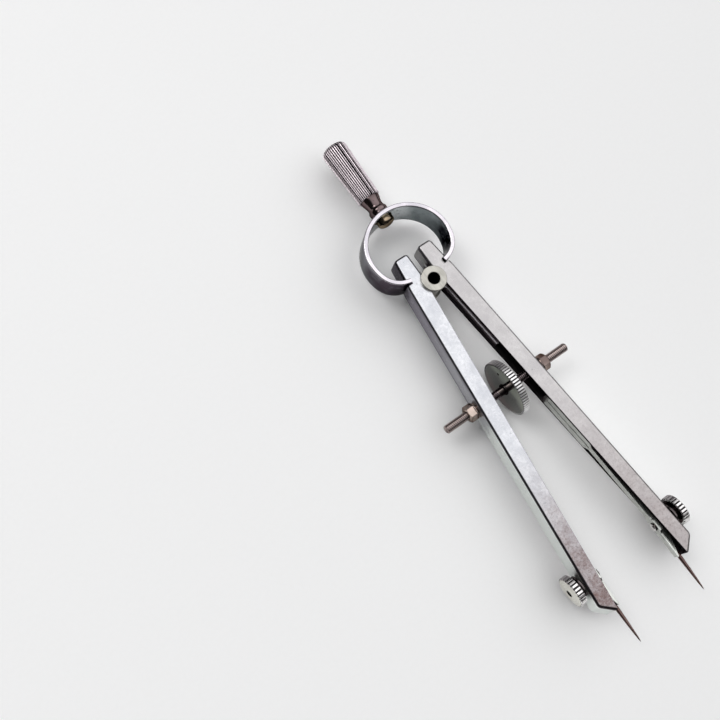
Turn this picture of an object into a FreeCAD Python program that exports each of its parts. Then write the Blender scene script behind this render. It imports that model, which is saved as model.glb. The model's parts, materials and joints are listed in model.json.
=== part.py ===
import FreeCAD, Part
import math
import os
from FreeCAD import Vector

os.makedirs("parts", exist_ok=True)

# Spring-bow divider lying flat, in millimetres.
# Origin: fulcrum centre at mid-thickness. +Y points at the handle, -Y at the needle points, +Z up.
# Each leg is drawn closed, parallel to Y, on the +X side. It is then turned about the fulcrum by the
# half opening angle, and the left-hand parts are its mirror images.

# ---- opening ----
HALF_OPEN = 5.85

# ---- legs: channels of folded sheet, open towards each other ----
LEG_HALF_DEPTH = 3.44
SHEET = 0.9
BEND_RADIUS = 0.8
LEG_INNER_X = 2.25
LEG_OUTER_X = 7.29
LEG_OUTER_X_END = 6.42
LEG_CHAMFER_TOP_Y = -92.2
LEG_END_Y = -94.95
LEG_END_FLAT = 0.60
LEG_CORNER_RADIUS = 1.6
HEAD_INNER_LOW = (2.0, 2.8)
HEAD_INNER_TOP = (2.68, 9.48)
HEAD_OUTER_TOP = (6.91, 9.04)
HEAD_OUTER_LOW = (7.07, 2.74)
HEAD_CORNER_RADIUS = 0.9

# ---- fulcrum roller: a flanged spool between the legs ----
ROLLER_CORE_RADIUS = 2.90
ROLLER_FLANGE_RADIUS = 3.53
ROLLER_FLANGE_THICKNESS = 0.80
ROLLER_BORE_RADIUS = 1.62
ROLLER_SIDE_PLAY = 0.05
ROLLER_EDGE_BREAK = 0.15
PIVOT_NOTCH_RADIUS = 2.95

# ---- inserts inside the channels ----
INSERT_RECESS = 0.45
INSERT_FLUSH_LOW_Y = -2.9
INSERT_STEP_Y = -3.4
INSERT_END_Y = -23.6
INSERT_END_SLANT = 1.6
GROOVE_HALF_WIDTH = 0.45
GROOVE_DEPTH = 0.35

# ---- needle holders ----
HOLDER_RECESS = 0.20
HOLDER_THICKNESS = 1.25
HOLDER_TOP_Y = -42.2
HOLDER_TOP_SLANT = 1.3
HOLDER_SHOULDER_Y = -58.8
HOLDER_SHOULDER_SLANT = 1.2
HOLDER_HALF_WIDTH = 1.10
HOLDER_BEND_Y = -81.0
HOLDER_END_Y = -94.2
HOLDER_END_INNER_X = 10.08
HOLDER_END_THICKNESS = 1.75
HOLDER_CUT_START_Y = -88.9
HOLDER_CUT_TIP_THICKNESS = 0.30
HOLDER_EYE_HALF_WIDTH = 2.30
HOLDER_EYE_HALF_LENGTH = 2.20
HOLDER_EYE_SLANT = 0.9
NEEDLE_BORE_RADIUS = 0.60
NEEDLE_BORE_END_Y = -87.4

# ---- needles, parallel to Y at this opening ----
NEEDLE_X = 10.95
NEEDLE_RADIUS = 0.55
NEEDLE_TOP_Y = -88.4
NEEDLE_TAPER_Y = -95.6
NEEDLE_TIP_Y = -104.75
NEEDLE_TIP_RADIUS = 0.04

# ---- knurled rims ----
KNURL_CREST_SHARE = 0.38

# ---- clamp screws near the leg ends, in line with each other at this opening ----
CLAMP_Y = -84.9
CLAMP_WASHER_RADIUS = 2.90
CLAMP_WASHER_THICKNESS = 0.50
CLAMP_SHOULDER_RADIUS = 2.30
CLAMP_SHOULDER_LENGTH = 0.75
CLAMP_HEAD_RADIUS = 4.20
CLAMP_HEAD_THICKNESS = 1.90
CLAMP_HEAD_DOME = 0.30
CLAMP_BACK_EDGE = 0.15
CLAMP_FRONT_EDGE = 0.25
CLAMP_FACE_MARGIN = 0.50
CLAMP_RIDGES = 26
CLAMP_RIDGE_DEPTH = 0.35
CLAMP_DIMPLE_RADIUS = 0.50
CLAMP_DIMPLE_DEPTH = 0.35
CLAMP_SHANK_RADIUS = 1.10
CLAMP_SHANK_PLAY = 0.05
CLAMP_WEB_HOLE_RADIUS = 1.30
CLAMP_SHANK_END_X = 9.40

# ---- adjusting screw ----
SCREW_Y = -34.1
SCREW_HALF_LENGTH = 20.35
THREAD_MAJOR = 1.20
THREAD_MINOR = 1.00
THREAD_PITCH = 0.50
THREAD_CREST_SHARE = 0.10
THREAD_START_X = 3.0
THREAD_END_CHAMFER = 0.35
WHEEL_RADIUS = 8.0
WHEEL_HALF_THICKNESS = 1.0
WHEEL_RIDGES = 60
WHEEL_RIDGE_DEPTH = 0.28
WHEEL_EDGE_BREAK = 0.17
WHEEL_HUB_RADIUS = 2.1
WHEEL_HUB_LENGTH = 0.45
WHEEL_DOT_RADIUS = 0.35
WHEEL_DOT_DEPTH = 0.30
WHEEL_DOT_OFFSET = 5.1
WHEEL_DOT_ANGLE = 38.0
COLLAR_RADIUS = 1.85
COLLAR_LENGTH = 0.95
COLLAR_GAP = 0.06
RUNNING_PLAY = 0.05

# ---- swivel nuts outside the legs ----
NUT_PIVOT_GAP = 1.70
NUT_BALL_RADIUS = 2.60
NUT_BALL_REACH = 2.25
NUT_SEAT_OVERLAP = 0.10
NUT_ACROSS_FLATS = 4.10
NUT_INNER = 1.00
NUT_OUTER = 1.30
NUT_CHAMFER = 0.30
WEB_HOLE_RADIUS = 2.00

# ---- spring ring ----
RING_HALF_WIDTH = 4.56
RING_THICKNESS = 1.30
RING_TOP_Y = 22.25
RING_CENTRE_Y = 11.0
RING_HALF_X = 11.85
RING_END_POINTS = ((11.15, 7.1), (10.15, 5.35), (8.85, 4.10), (7.35, 3.25), (5.50, 2.72))
RING_ARC_STEPS = 7
RING_ARC_LOW_Y = 9.0
RING_SAMPLES = 49
RING_SLOT_X = 5.30
RING_SLOT_Y = 2.72
RING_SLOT_HALF_HEIGHT = 0.74
RING_SLOT_END_HEIGHT = 1.35
RING_SLOT_END_X = 7.9
RING_HOLE_RADIUS = 1.05

# ---- handle and its screw ----
GRIP_TOP_Y = 46.3
GRIP_LOW_Y = 28.4
GRIP_TOP_RADIUS = 3.72
GRIP_LOW_RADIUS = 3.20
GRIP_DOME = 1.9
GRIP_FLUTES = 36
GRIP_FLUTE_DEPTH = 0.26
GRIP_CREST_SHARE = 0.5
NECK_TOP_RADIUS = 2.80
NECK_TOP_Y = 27.8
NECK_WAIST_RADIUS = 2.25
NECK_WAIST_Y = 25.6
BEAD_RADIUS = 2.70
BEAD_Y = 24.3
HANDLE_FOOT_Y = 22.3
HANDLE_FOOT_RADIUS = 2.45
HANDLE_BORE_TOP_Y = 29.0
HEAD_SCREW_RADIUS = 2.45
HEAD_SCREW_LOW_Y = 19.4
HEAD_SCREW_RIM_Y = 20.6

NECK_WAIST_HALF_LENGTH = 0.4
BEAD_SLOPE = 0.4
BEAD_HALF_LENGTH = 0.3
ARC_STEPS = 6
ARC_STEP_ANGLE = 15

FULCRUM = Vector(0, 0, 0)
X_AXIS = Vector(1, 0, 0)
Y_AXIS = Vector(0, 1, 0)
Z_AXIS = Vector(0, 0, 1)
FAR = 40.0
OVERLAP = 1.0
SPOT_TOLERANCE = 0.01
TINY = 1e-6


# ---- helpers ----
def prism(points, z_low, z_high):
    """A straight-sided outline in XY, given height."""
    corners = [Vector(x, y, z_low) for x, y in points]
    face = Part.Face(Part.makePolygon(corners + corners[:1]))
    return face.extrude(Vector(0, 0, z_high - z_low))


def box(x_low, x_high, y_low, y_high, z_low, z_high):
    """A box between two corners."""
    size = (x_high - x_low, y_high - y_low, z_high - z_low)
    return Part.makeBox(*size, Vector(x_low, y_low, z_low))


def turned(profile, base, axis):
    """A solid of revolution: profile is (radius, distance along axis) pairs from axis to axis."""
    side = Y_AXIS if abs(axis.x) > 0.5 else X_AXIS
    corners = [base + side * r + axis * d for r, d in profile]
    face = Part.Face(Part.makePolygon(corners + corners[:1]))
    return face.revolve(base, axis, 360)


def round_upright_edges(solid, spots, radius):
    """Rounds the upright edges that pass through the given XY spots."""
    chosen = []
    for edge in solid.Edges:
        upright = abs(edge.BoundBox.ZLength - edge.Length) < TINY
        middle = edge.CenterOfMass
        if upright and any(math.hypot(middle.x - x, middle.y - y) < SPOT_TOLERANCE for x, y in spots):
            chosen.append(edge)
    return solid.makeFillet(radius, chosen)


def toothed_outline(radius, depth, teeth, crest_share):
    """Corner points of a straight knurl seen along its axis."""
    points = []
    pitch = 2 * math.pi / teeth
    half_crest = pitch * crest_share / 2
    half_root = pitch * (1 - crest_share) / 4
    for tooth in range(teeth):
        middle = tooth * pitch
        for angle, r in (
            (middle - half_crest, radius),
            (middle + half_crest, radius),
            (middle + pitch / 2 - half_root, radius - depth),
            (middle + pitch / 2 + half_root, radius - depth),
        ):
            points.append((r * math.cos(angle), r * math.sin(angle)))
    return points


def knurled_disc(radius, depth, teeth, x_low, x_high, y, z):
    """A disc on an axis along X with a straight knurl round its rim."""
    outline = toothed_outline(radius, depth, teeth, KNURL_CREST_SHARE)
    corners = [Vector(x_low, y + a, z + b) for a, b in outline]
    face = Part.Face(Part.makePolygon(corners + corners[:1]))
    return face.extrude(Vector(x_high - x_low, 0, 0))


def opened(shape):
    """Turns a shape drawn on the closed right leg to the stored opening."""
    copy = shape.copy()
    copy.rotate(FULCRUM, Z_AXIS, HALF_OPEN)
    return copy


def closed(point):
    """A point of the stored pose, seen in the closed leg's frame."""
    angle = math.radians(HALF_OPEN)
    x, y = point
    return (x * math.cos(angle) + y * math.sin(angle), y * math.cos(angle) - x * math.sin(angle))


def mirrored(shape):
    """The left-hand twin of a right-hand shape."""
    return shape.mirror(FULCRUM, X_AXIS)


def leg_outer_x(y):
    """The closed leg's outer surface at a distance along it."""
    share = y / LEG_CHAMFER_TOP_Y
    return LEG_OUTER_X + share * (LEG_OUTER_X_END - LEG_OUTER_X)


def web_slant():
    """Angle of the leg's outer surface to Y in the stored pose, and the leg's own taper."""
    taper = math.atan((LEG_OUTER_X - LEG_OUTER_X_END) / -LEG_CHAMFER_TOP_Y)
    return math.radians(HALF_OPEN) - taper, taper


def web_x(y):
    """The leg's outer surface in the stored pose."""
    slant, taper = web_slant()
    return LEG_OUTER_X * math.cos(taper) / math.cos(slant) - y * math.tan(slant)


def export(name, shape):
    """Writes one named sub-part."""
    clean = shape.removeSplitter()
    clean.exportStep("parts/" + name + ".step")


# ---- spring ring ----
def ring_midline():
    """Half of the band's midline, from the top of the ring to its right-hand end."""
    points = []
    half_y = RING_TOP_Y - RING_CENTRE_Y
    end_angle = math.acos((RING_ARC_LOW_Y - RING_CENTRE_Y) / half_y)
    for step in range(RING_ARC_STEPS + 1):
        angle = end_angle * step / RING_ARC_STEPS
        points.append((RING_HALF_X * math.sin(angle), RING_CENTRE_Y + half_y * math.cos(angle)))
    return points + list(RING_END_POINTS)


def ring_side(curve, offset):
    """A smooth line beside the band's midline."""
    first, last = curve.FirstParameter, curve.LastParameter
    points = []
    for step in range(RING_SAMPLES):
        parameter = first + (last - first) * step / (RING_SAMPLES - 1)
        tangent = curve.tangent(parameter)[0]
        normal = Vector(-tangent.y, tangent.x, 0)
        points.append(curve.value(parameter) + normal * offset)
    side = Part.BSplineCurve()
    side.interpolate(points)
    return side


def ring_band():
    """The bent band and the solid space that its outer surface encloses."""
    right = ring_midline()
    left = [(-x, y) for x, y in reversed(right[1:])]
    curve = Part.BSplineCurve()
    curve.interpolate([Vector(x, y, -RING_HALF_WIDTH) for x, y in left + right])
    outer = ring_side(curve, RING_THICKNESS / 2)
    inner = ring_side(curve, -RING_THICKNESS / 2)
    start_cap = Part.makeLine(inner.StartPoint, outer.StartPoint)
    end_cap = Part.makeLine(outer.EndPoint, inner.EndPoint)
    height = Vector(0, 0, 2 * RING_HALF_WIDTH)
    wire = Part.Wire([start_cap, outer.toShape(), end_cap, inner.toShape()])
    band = Part.Face(wire).extrude(height)
    closing = Part.makeLine(outer.EndPoint, outer.StartPoint)
    envelope = Part.Face(Part.Wire([outer.toShape(), closing])).extrude(height)
    return band, envelope


def spring_ring(band):
    """The band with the hole for the handle's screw."""
    hole = Part.makeCylinder(RING_HOLE_RADIUS, FAR, Vector(0, RING_CENTRE_Y, 0), Y_AXIS)
    return band.cut(hole)


# ---- handle ----
def handle(envelope):
    """Fluted grip, waisted neck and bead, turned in one piece and saddled on the ring."""
    def fluted_wire(y, radius):
        outline = toothed_outline(radius, GRIP_FLUTE_DEPTH, GRIP_FLUTES, GRIP_CREST_SHARE)
        corners = [Vector(a, y, b) for a, b in outline]
        return Part.makePolygon(corners + corners[:1])

    wires = [fluted_wire(GRIP_LOW_Y, GRIP_LOW_RADIUS), fluted_wire(GRIP_TOP_Y, GRIP_TOP_RADIUS)]
    grip = Part.makeLoft(wires, True, True)
    dome_base = GRIP_TOP_Y - GRIP_DOME
    profile = [(0, GRIP_LOW_Y), (GRIP_LOW_RADIUS, GRIP_LOW_Y), (GRIP_TOP_RADIUS, dome_base)]
    for step in range(1, ARC_STEPS):
        angle = math.radians(ARC_STEP_ANGLE * step)
        radius = GRIP_TOP_RADIUS * math.sqrt(math.cos(angle))
        profile.append((radius, dome_base + GRIP_DOME * math.sin(angle)))
    profile.append((0, GRIP_TOP_Y))
    grip = grip.common(turned(profile, FULCRUM, Y_AXIS))
    neck = turned(
        [
            (0, HANDLE_FOOT_Y),
            (HANDLE_FOOT_RADIUS, HANDLE_FOOT_Y),
            (HANDLE_FOOT_RADIUS, BEAD_Y - BEAD_HALF_LENGTH - BEAD_SLOPE),
            (BEAD_RADIUS, BEAD_Y - BEAD_HALF_LENGTH),
            (BEAD_RADIUS, BEAD_Y + BEAD_HALF_LENGTH),
            (NECK_WAIST_RADIUS, NECK_WAIST_Y - NECK_WAIST_HALF_LENGTH),
            (NECK_WAIST_RADIUS, NECK_WAIST_Y + NECK_WAIST_HALF_LENGTH),
            (NECK_TOP_RADIUS, NECK_TOP_Y),
            (NECK_TOP_RADIUS, GRIP_LOW_Y),
            (0, GRIP_LOW_Y),
        ],
        FULCRUM,
        Y_AXIS,
    )
    bore_length = HANDLE_BORE_TOP_Y - RING_CENTRE_Y
    bore = Part.makeCylinder(RING_HOLE_RADIUS, bore_length, Vector(0, RING_CENTRE_Y, 0), Y_AXIS)
    return grip.fuse(neck).cut(envelope).cut(bore)


def handle_screw(band):
    """Round-headed screw inside the ring that holds the handle."""
    profile = [(0, HEAD_SCREW_LOW_Y)]
    rise = HEAD_SCREW_RIM_Y - HEAD_SCREW_LOW_Y
    for step in range(1, ARC_STEPS + 1):
        angle = math.radians(ARC_STEP_ANGLE * step)
        radius = HEAD_SCREW_RADIUS * math.sin(angle)
        profile.append((radius, HEAD_SCREW_RIM_Y - rise * math.cos(angle)))
    profile.append((HEAD_SCREW_RADIUS, RING_TOP_Y))
    profile.append((RING_HOLE_RADIUS, RING_TOP_Y))
    profile.append((RING_HOLE_RADIUS, HANDLE_BORE_TOP_Y))
    profile.append((0, HANDLE_BORE_TOP_Y))
    screw = turned(profile, FULCRUM, Y_AXIS)
    hole = Part.makeCylinder(RING_HOLE_RADIUS, FAR, Vector(0, RING_CENTRE_Y, 0), Y_AXIS)
    return screw.cut(band.cut(hole))


# ---- fulcrum ----
def fulcrum_roller():
    """Flanged spool that the legs rock on."""
    inner = LEG_HALF_DEPTH + ROLLER_SIDE_PLAY
    outer = inner + ROLLER_FLANGE_THICKNESS
    edge = ROLLER_EDGE_BREAK
    upper = [
        (ROLLER_CORE_RADIUS, inner),
        (ROLLER_FLANGE_RADIUS, inner),
        (ROLLER_FLANGE_RADIUS, outer - edge),
        (ROLLER_FLANGE_RADIUS - edge, outer),
        (ROLLER_BORE_RADIUS + edge, outer),
        (ROLLER_BORE_RADIUS, outer - edge),
    ]
    lower = [(r, -d) for r, d in reversed(upper)]
    return turned(upper + lower, FULCRUM, Z_AXIS)


# ---- legs ----
def leg_outline():
    """The closed right leg seen from above."""
    return [
        (LEG_INNER_X, LEG_END_Y),
        (LEG_INNER_X, 0),
        HEAD_INNER_LOW,
        HEAD_INNER_TOP,
        HEAD_OUTER_TOP,
        HEAD_OUTER_LOW,
        (LEG_OUTER_X, 0),
        (LEG_OUTER_X_END, LEG_CHAMFER_TOP_Y),
        (LEG_INNER_X + LEG_END_FLAT, LEG_END_Y),
    ]


def cavity_outline():
    """The space inside the channel, open at the mouth and at the top end."""
    end_x = LEG_INNER_X + LEG_END_FLAT
    slope = (LEG_CHAMFER_TOP_Y - LEG_END_Y) / (LEG_OUTER_X_END - end_x)
    lift = SHEET * math.hypot(1, slope)
    corner_x = LEG_OUTER_X_END - SHEET
    corner_y = LEG_CHAMFER_TOP_Y + lift - slope * SHEET
    mouth_x = LEG_INNER_X - OVERLAP
    mouth_y = LEG_END_Y + lift + slope * (mouth_x - end_x)
    return [
        (mouth_x, mouth_y),
        (mouth_x, FAR / 2),
        (HEAD_OUTER_TOP[0] - SHEET, FAR / 2),
        (HEAD_OUTER_TOP[0] - SHEET, HEAD_OUTER_TOP[1]),
        (LEG_OUTER_X - SHEET, 0),
        (corner_x, corner_y),
    ]


def cavity():
    """The channel's inner space as a solid."""
    depth = LEG_HALF_DEPTH - SHEET
    return prism(cavity_outline(), -depth, depth)


def pivot_notch():
    """Half-round seat for the fulcrum roller."""
    return Part.makeCylinder(PIVOT_NOTCH_RADIUS, 2 * FAR, Vector(0, 0, -FAR), Z_AXIS)


def ring_slot():
    """Slot across the leg's outer side for the end of the spring ring, in the stored pose."""
    low = RING_SLOT_Y - RING_SLOT_HALF_HEIGHT
    high = RING_SLOT_Y + RING_SLOT_HALF_HEIGHT
    flare = RING_SLOT_Y + RING_SLOT_END_HEIGHT
    end_x = RING_SLOT_END_X
    outline = [(RING_SLOT_X, low), (end_x, low), (end_x, flare), (RING_SLOT_X, high)]
    return prism(outline, -FAR, FAR)


def nut_pivot():
    """Centre of the right-hand nut's ball seat in the stored pose."""
    slant, _ = web_slant()
    return Vector(web_x(SCREW_Y) + NUT_PIVOT_GAP / math.cos(slant), SCREW_Y, 0)


def leg():
    """Right-hand channel leg in the stored pose."""
    body = prism(leg_outline(), -LEG_HALF_DEPTH, LEG_HALF_DEPTH)
    body = round_upright_edges(body, [(LEG_OUTER_X_END, LEG_CHAMFER_TOP_Y)], LEG_CORNER_RADIUS)
    body = round_upright_edges(body, [HEAD_INNER_TOP, HEAD_OUTER_TOP], HEAD_CORNER_RADIUS)
    bends = []
    for edge in body.Edges:
        flat = edge.BoundBox.ZLength < TINY
        middle = edge.CenterOfMass
        on_web = middle.x > leg_outer_x(middle.y) - SHEET / 2 and middle.y < 0
        on_end = middle.y < LEG_CHAMFER_TOP_Y and middle.x > LEG_INNER_X + LEG_END_FLAT + SHEET / 2
        if flat and (on_web or on_end):
            bends.append(edge)
    body = body.makeFillet(BEND_RADIUS, bends)
    body = opened(body.cut(cavity()))
    body = body.cut(pivot_notch()).cut(ring_slot())
    slant, _ = web_slant()
    across = Vector(math.cos(slant), math.sin(slant), 0)
    length = 2 * NUT_PIVOT_GAP + SHEET
    body = body.cut(Part.makeCylinder(WEB_HOLE_RADIUS, length, nut_pivot() - across * length, across))
    inside_x = web_x(CLAMP_Y) - 2 * SHEET
    return body.cut(Part.makeCylinder(CLAMP_WEB_HOLE_RADIUS, FAR, Vector(inside_x, CLAMP_Y, 0), X_AXIS))


def hinge_insert():
    """Filler inside the leg's top: flush round the fulcrum, set back below it."""
    depth = LEG_HALF_DEPTH - SHEET
    back = LEG_INNER_X + INSERT_RECESS
    outline = [
        (back, INSERT_END_Y),
        (back, INSERT_STEP_Y),
        (LEG_INNER_X, INSERT_FLUSH_LOW_Y),
        (LEG_INNER_X, 0),
        HEAD_INNER_LOW,
        HEAD_INNER_TOP,
        HEAD_OUTER_TOP,
        (LEG_OUTER_X, 0),
        (LEG_OUTER_X, INSERT_END_Y - INSERT_END_SLANT),
    ]
    body = prism(outline, -depth, depth)
    body = round_upright_edges(body, [HEAD_INNER_TOP], HEAD_CORNER_RADIUS)
    body = body.common(cavity())
    groove = box(back - OVERLAP, back + GROOVE_DEPTH, INSERT_END_Y - 2 * OVERLAP, INSERT_STEP_Y,
                 -GROOVE_HALF_WIDTH, GROOVE_HALF_WIDTH)
    return opened(body.cut(groove)).cut(pivot_notch()).cut(ring_slot())


def needle_holder():
    """Strip in the channel's mouth: a broad fixed end, a narrow tongue, an eye and a needle sleeve."""
    depth = LEG_HALF_DEPTH - SHEET
    face_x = LEG_INNER_X + HOLDER_RECESS
    bend_x, bend_y = closed((HOLDER_END_INNER_X, HOLDER_BEND_Y))
    bend_out_x, bend_out_y = closed((HOLDER_END_INNER_X + HOLDER_END_THICKNESS, HOLDER_BEND_Y))
    end_x, end_y = closed((HOLDER_END_INNER_X, HOLDER_END_Y))
    tip_x, tip_y = closed((HOLDER_END_INNER_X + HOLDER_CUT_TIP_THICKNESS, HOLDER_END_Y))
    cut_x, cut_y = closed((HOLDER_END_INNER_X + HOLDER_END_THICKNESS, HOLDER_CUT_START_Y))
    side = [
        (face_x, HOLDER_TOP_Y - HOLDER_TOP_SLANT),
        (face_x, HOLDER_SHOULDER_Y),
        (bend_x, bend_y),
        (end_x, end_y),
        (tip_x, tip_y),
        (cut_x, cut_y),
        (bend_out_x, bend_out_y),
        (face_x + HOLDER_THICKNESS, HOLDER_SHOULDER_Y),
        (face_x + HOLDER_THICKNESS, HOLDER_TOP_Y),
    ]
    strip = prism(side, -depth, depth)
    _, eye_y = closed((HOLDER_END_INNER_X, CLAMP_Y))

    def plan(sign):
        """Half of the strip's outline seen through the channel's mouth, as (y, z) pairs."""
        narrow = sign * HOLDER_HALF_WIDTH
        eye = sign * HOLDER_EYE_HALF_WIDTH
        eye_top = eye_y + HOLDER_EYE_HALF_LENGTH
        eye_low = eye_y - HOLDER_EYE_HALF_LENGTH
        return [
            (HOLDER_TOP_Y + OVERLAP, sign * depth),
            (HOLDER_SHOULDER_Y, sign * depth),
            (HOLDER_SHOULDER_Y - HOLDER_SHOULDER_SLANT, narrow),
            (eye_top, narrow),
            (eye_top - HOLDER_EYE_SLANT, eye),
            (eye_low + HOLDER_EYE_SLANT, eye),
            (eye_low, narrow),
            (LEG_END_Y - OVERLAP, narrow),
        ]

    outline = plan(1) + list(reversed(plan(-1)))
    corners = [Vector(-FAR / 4, y, z) for y, z in outline]
    face = Part.Face(Part.makePolygon(corners + corners[:1]))
    strip = strip.common(face.extrude(Vector(FAR, 0, 0)))
    groove = box(face_x - OVERLAP, face_x + GROOVE_DEPTH,
                 HOLDER_SHOULDER_Y - OVERLAP, HOLDER_TOP_Y + OVERLAP,
                 -GROOVE_HALF_WIDTH / 2, GROOVE_HALF_WIDTH / 2)
    strip = opened(strip.cut(groove))
    shank_space = CLAMP_SHANK_RADIUS + CLAMP_SHANK_PLAY
    strip = strip.cut(Part.makeCylinder(shank_space, FAR, Vector(0, CLAMP_Y, 0), X_AXIS))
    bore_length = NEEDLE_BORE_END_Y - NEEDLE_TIP_Y
    bore = Part.makeCylinder(NEEDLE_BORE_RADIUS, bore_length, Vector(NEEDLE_X, NEEDLE_TIP_Y, 0), Y_AXIS)
    return strip.cut(bore)


def needle():
    """Round steel needle with a long taper."""
    profile = [
        (0, NEEDLE_TIP_Y),
        (NEEDLE_TIP_RADIUS, NEEDLE_TIP_Y),
        (NEEDLE_RADIUS, NEEDLE_TAPER_Y),
        (NEEDLE_RADIUS, NEEDLE_TOP_Y),
        (0, NEEDLE_TOP_Y),
    ]
    return turned(profile, Vector(NEEDLE_X, 0, 0), Y_AXIS)


# ---- clamp screws ----
def clamp_seat_x():
    """Where a washer square to the clamp screw first meets the slanting leg."""
    return web_x(CLAMP_Y - CLAMP_WASHER_RADIUS)


def clamp_washer():
    """Plain washer under the clamp screw."""
    start = Vector(clamp_seat_x(), CLAMP_Y, 0)
    ring = Part.makeCylinder(CLAMP_WASHER_RADIUS, CLAMP_WASHER_THICKNESS, start, X_AXIS)
    return ring.cut(Part.makeCylinder(CLAMP_WEB_HOLE_RADIUS, FAR, start - X_AXIS, X_AXIS))


def thumb_screw():
    """Knurled clamp screw with a shoulder, a slightly domed face and a centre dimple."""
    shoulder_x = clamp_seat_x() + CLAMP_WASHER_THICKNESS
    head_x = shoulder_x + CLAMP_SHOULDER_LENGTH
    rim_x = head_x + CLAMP_HEAD_THICKNESS
    base = Vector(0, CLAMP_Y, 0)
    head = knurled_disc(CLAMP_HEAD_RADIUS, CLAMP_RIDGE_DEPTH, CLAMP_RIDGES, head_x, rim_x, CLAMP_Y, 0)
    back_edge, front_edge = CLAMP_BACK_EDGE, CLAMP_FRONT_EDGE
    face_radius = CLAMP_HEAD_RADIUS - CLAMP_FACE_MARGIN
    limit = turned(
        [(0, head_x), (CLAMP_HEAD_RADIUS - back_edge, head_x), (CLAMP_HEAD_RADIUS, head_x + back_edge),
         (CLAMP_HEAD_RADIUS, rim_x - front_edge), (CLAMP_HEAD_RADIUS - front_edge, rim_x), (0, rim_x)],
        base, X_AXIS,
    )
    head = head.common(limit)
    dome = turned(
        [(0, rim_x - front_edge), (face_radius, rim_x - front_edge), (face_radius, rim_x),
         (face_radius * 0.7, rim_x + CLAMP_HEAD_DOME * 0.7), (0, rim_x + CLAMP_HEAD_DOME)],
        base, X_AXIS,
    )
    shank = turned(
        [(0, CLAMP_SHANK_END_X), (CLAMP_SHANK_RADIUS - front_edge, CLAMP_SHANK_END_X),
         (CLAMP_SHANK_RADIUS, CLAMP_SHANK_END_X + front_edge), (CLAMP_SHANK_RADIUS, shoulder_x),
         (CLAMP_SHOULDER_RADIUS, shoulder_x), (CLAMP_SHOULDER_RADIUS, head_x), (0, head_x)],
        base, X_AXIS,
    )
    face_end = rim_x + CLAMP_HEAD_DOME
    dimple = turned(
        [(0, face_end - CLAMP_DIMPLE_DEPTH), (CLAMP_DIMPLE_RADIUS, face_end), (0, face_end + OVERLAP)],
        base, X_AXIS,
    )
    return head.fuse([dome, shank]).cut(dimple)


# ---- adjusting screw, wheel, collar and nuts ----
def adjusting_spindle():
    """Threaded rod, drawn with ring-shaped thread crests and a plain middle."""
    right = [(THREAD_MAJOR, 0), (THREAD_MAJOR, THREAD_START_X)]
    end = SCREW_HALF_LENGTH - THREAD_END_CHAMFER
    crests = int((end - THREAD_START_X) / THREAD_PITCH)
    for crest in range(crests):
        start = THREAD_START_X + crest * THREAD_PITCH
        right.append((THREAD_MINOR, start + THREAD_PITCH / 2))
        right.append((THREAD_MAJOR, start + THREAD_PITCH * (1 - THREAD_CREST_SHARE)))
        right.append((THREAD_MAJOR, start + THREAD_PITCH))
    right.append((THREAD_MAJOR, end))
    right.append((THREAD_MAJOR - THREAD_END_CHAMFER, SCREW_HALF_LENGTH))
    right.append((0, SCREW_HALF_LENGTH))
    left = [(r, -d) for r, d in reversed(right[1:])]
    return turned(left + right, Vector(0, SCREW_Y, 0), X_AXIS)


def adjusting_wheel():
    """Knurled wheel with a small hub on each face."""
    half = WHEEL_HALF_THICKNESS
    disc = knurled_disc(WHEEL_RADIUS, WHEEL_RIDGE_DEPTH, WHEEL_RIDGES, -half, half, SCREW_Y, 0)
    base = Vector(0, SCREW_Y, 0)
    edge = WHEEL_EDGE_BREAK
    limit = turned(
        [(0, -half), (WHEEL_RADIUS - edge, -half), (WHEEL_RADIUS, edge - half),
         (WHEEL_RADIUS, half - edge), (WHEEL_RADIUS - edge, half), (0, half)],
        base, X_AXIS,
    )
    reach = half + WHEEL_HUB_LENGTH
    hub = Part.makeCylinder(WHEEL_HUB_RADIUS, 2 * reach, Vector(-reach, SCREW_Y, 0), X_AXIS)
    bore = Part.makeCylinder(THREAD_MAJOR, FAR, Vector(-FAR / 2, SCREW_Y, 0), X_AXIS)
    angle = math.radians(WHEEL_DOT_ANGLE)
    dot_y = SCREW_Y + WHEEL_DOT_OFFSET * math.cos(angle)
    spot = Vector(-half, dot_y, WHEEL_DOT_OFFSET * math.sin(angle))
    dot = Part.makeCylinder(WHEEL_DOT_RADIUS, WHEEL_DOT_DEPTH, spot, X_AXIS)
    return disc.common(limit).fuse(hub).cut(bore).cut(dot)


def wheel_collar():
    """Thrust collar beside the wheel, free on the rod."""
    start = Vector(WHEEL_HALF_THICKNESS + WHEEL_HUB_LENGTH + COLLAR_GAP, SCREW_Y, 0)
    ring = Part.makeCylinder(COLLAR_RADIUS, COLLAR_LENGTH, start, X_AXIS)
    return ring.cut(Part.makeCylinder(THREAD_MAJOR + RUNNING_PLAY, FAR, start - X_AXIS, X_AXIS))


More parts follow.
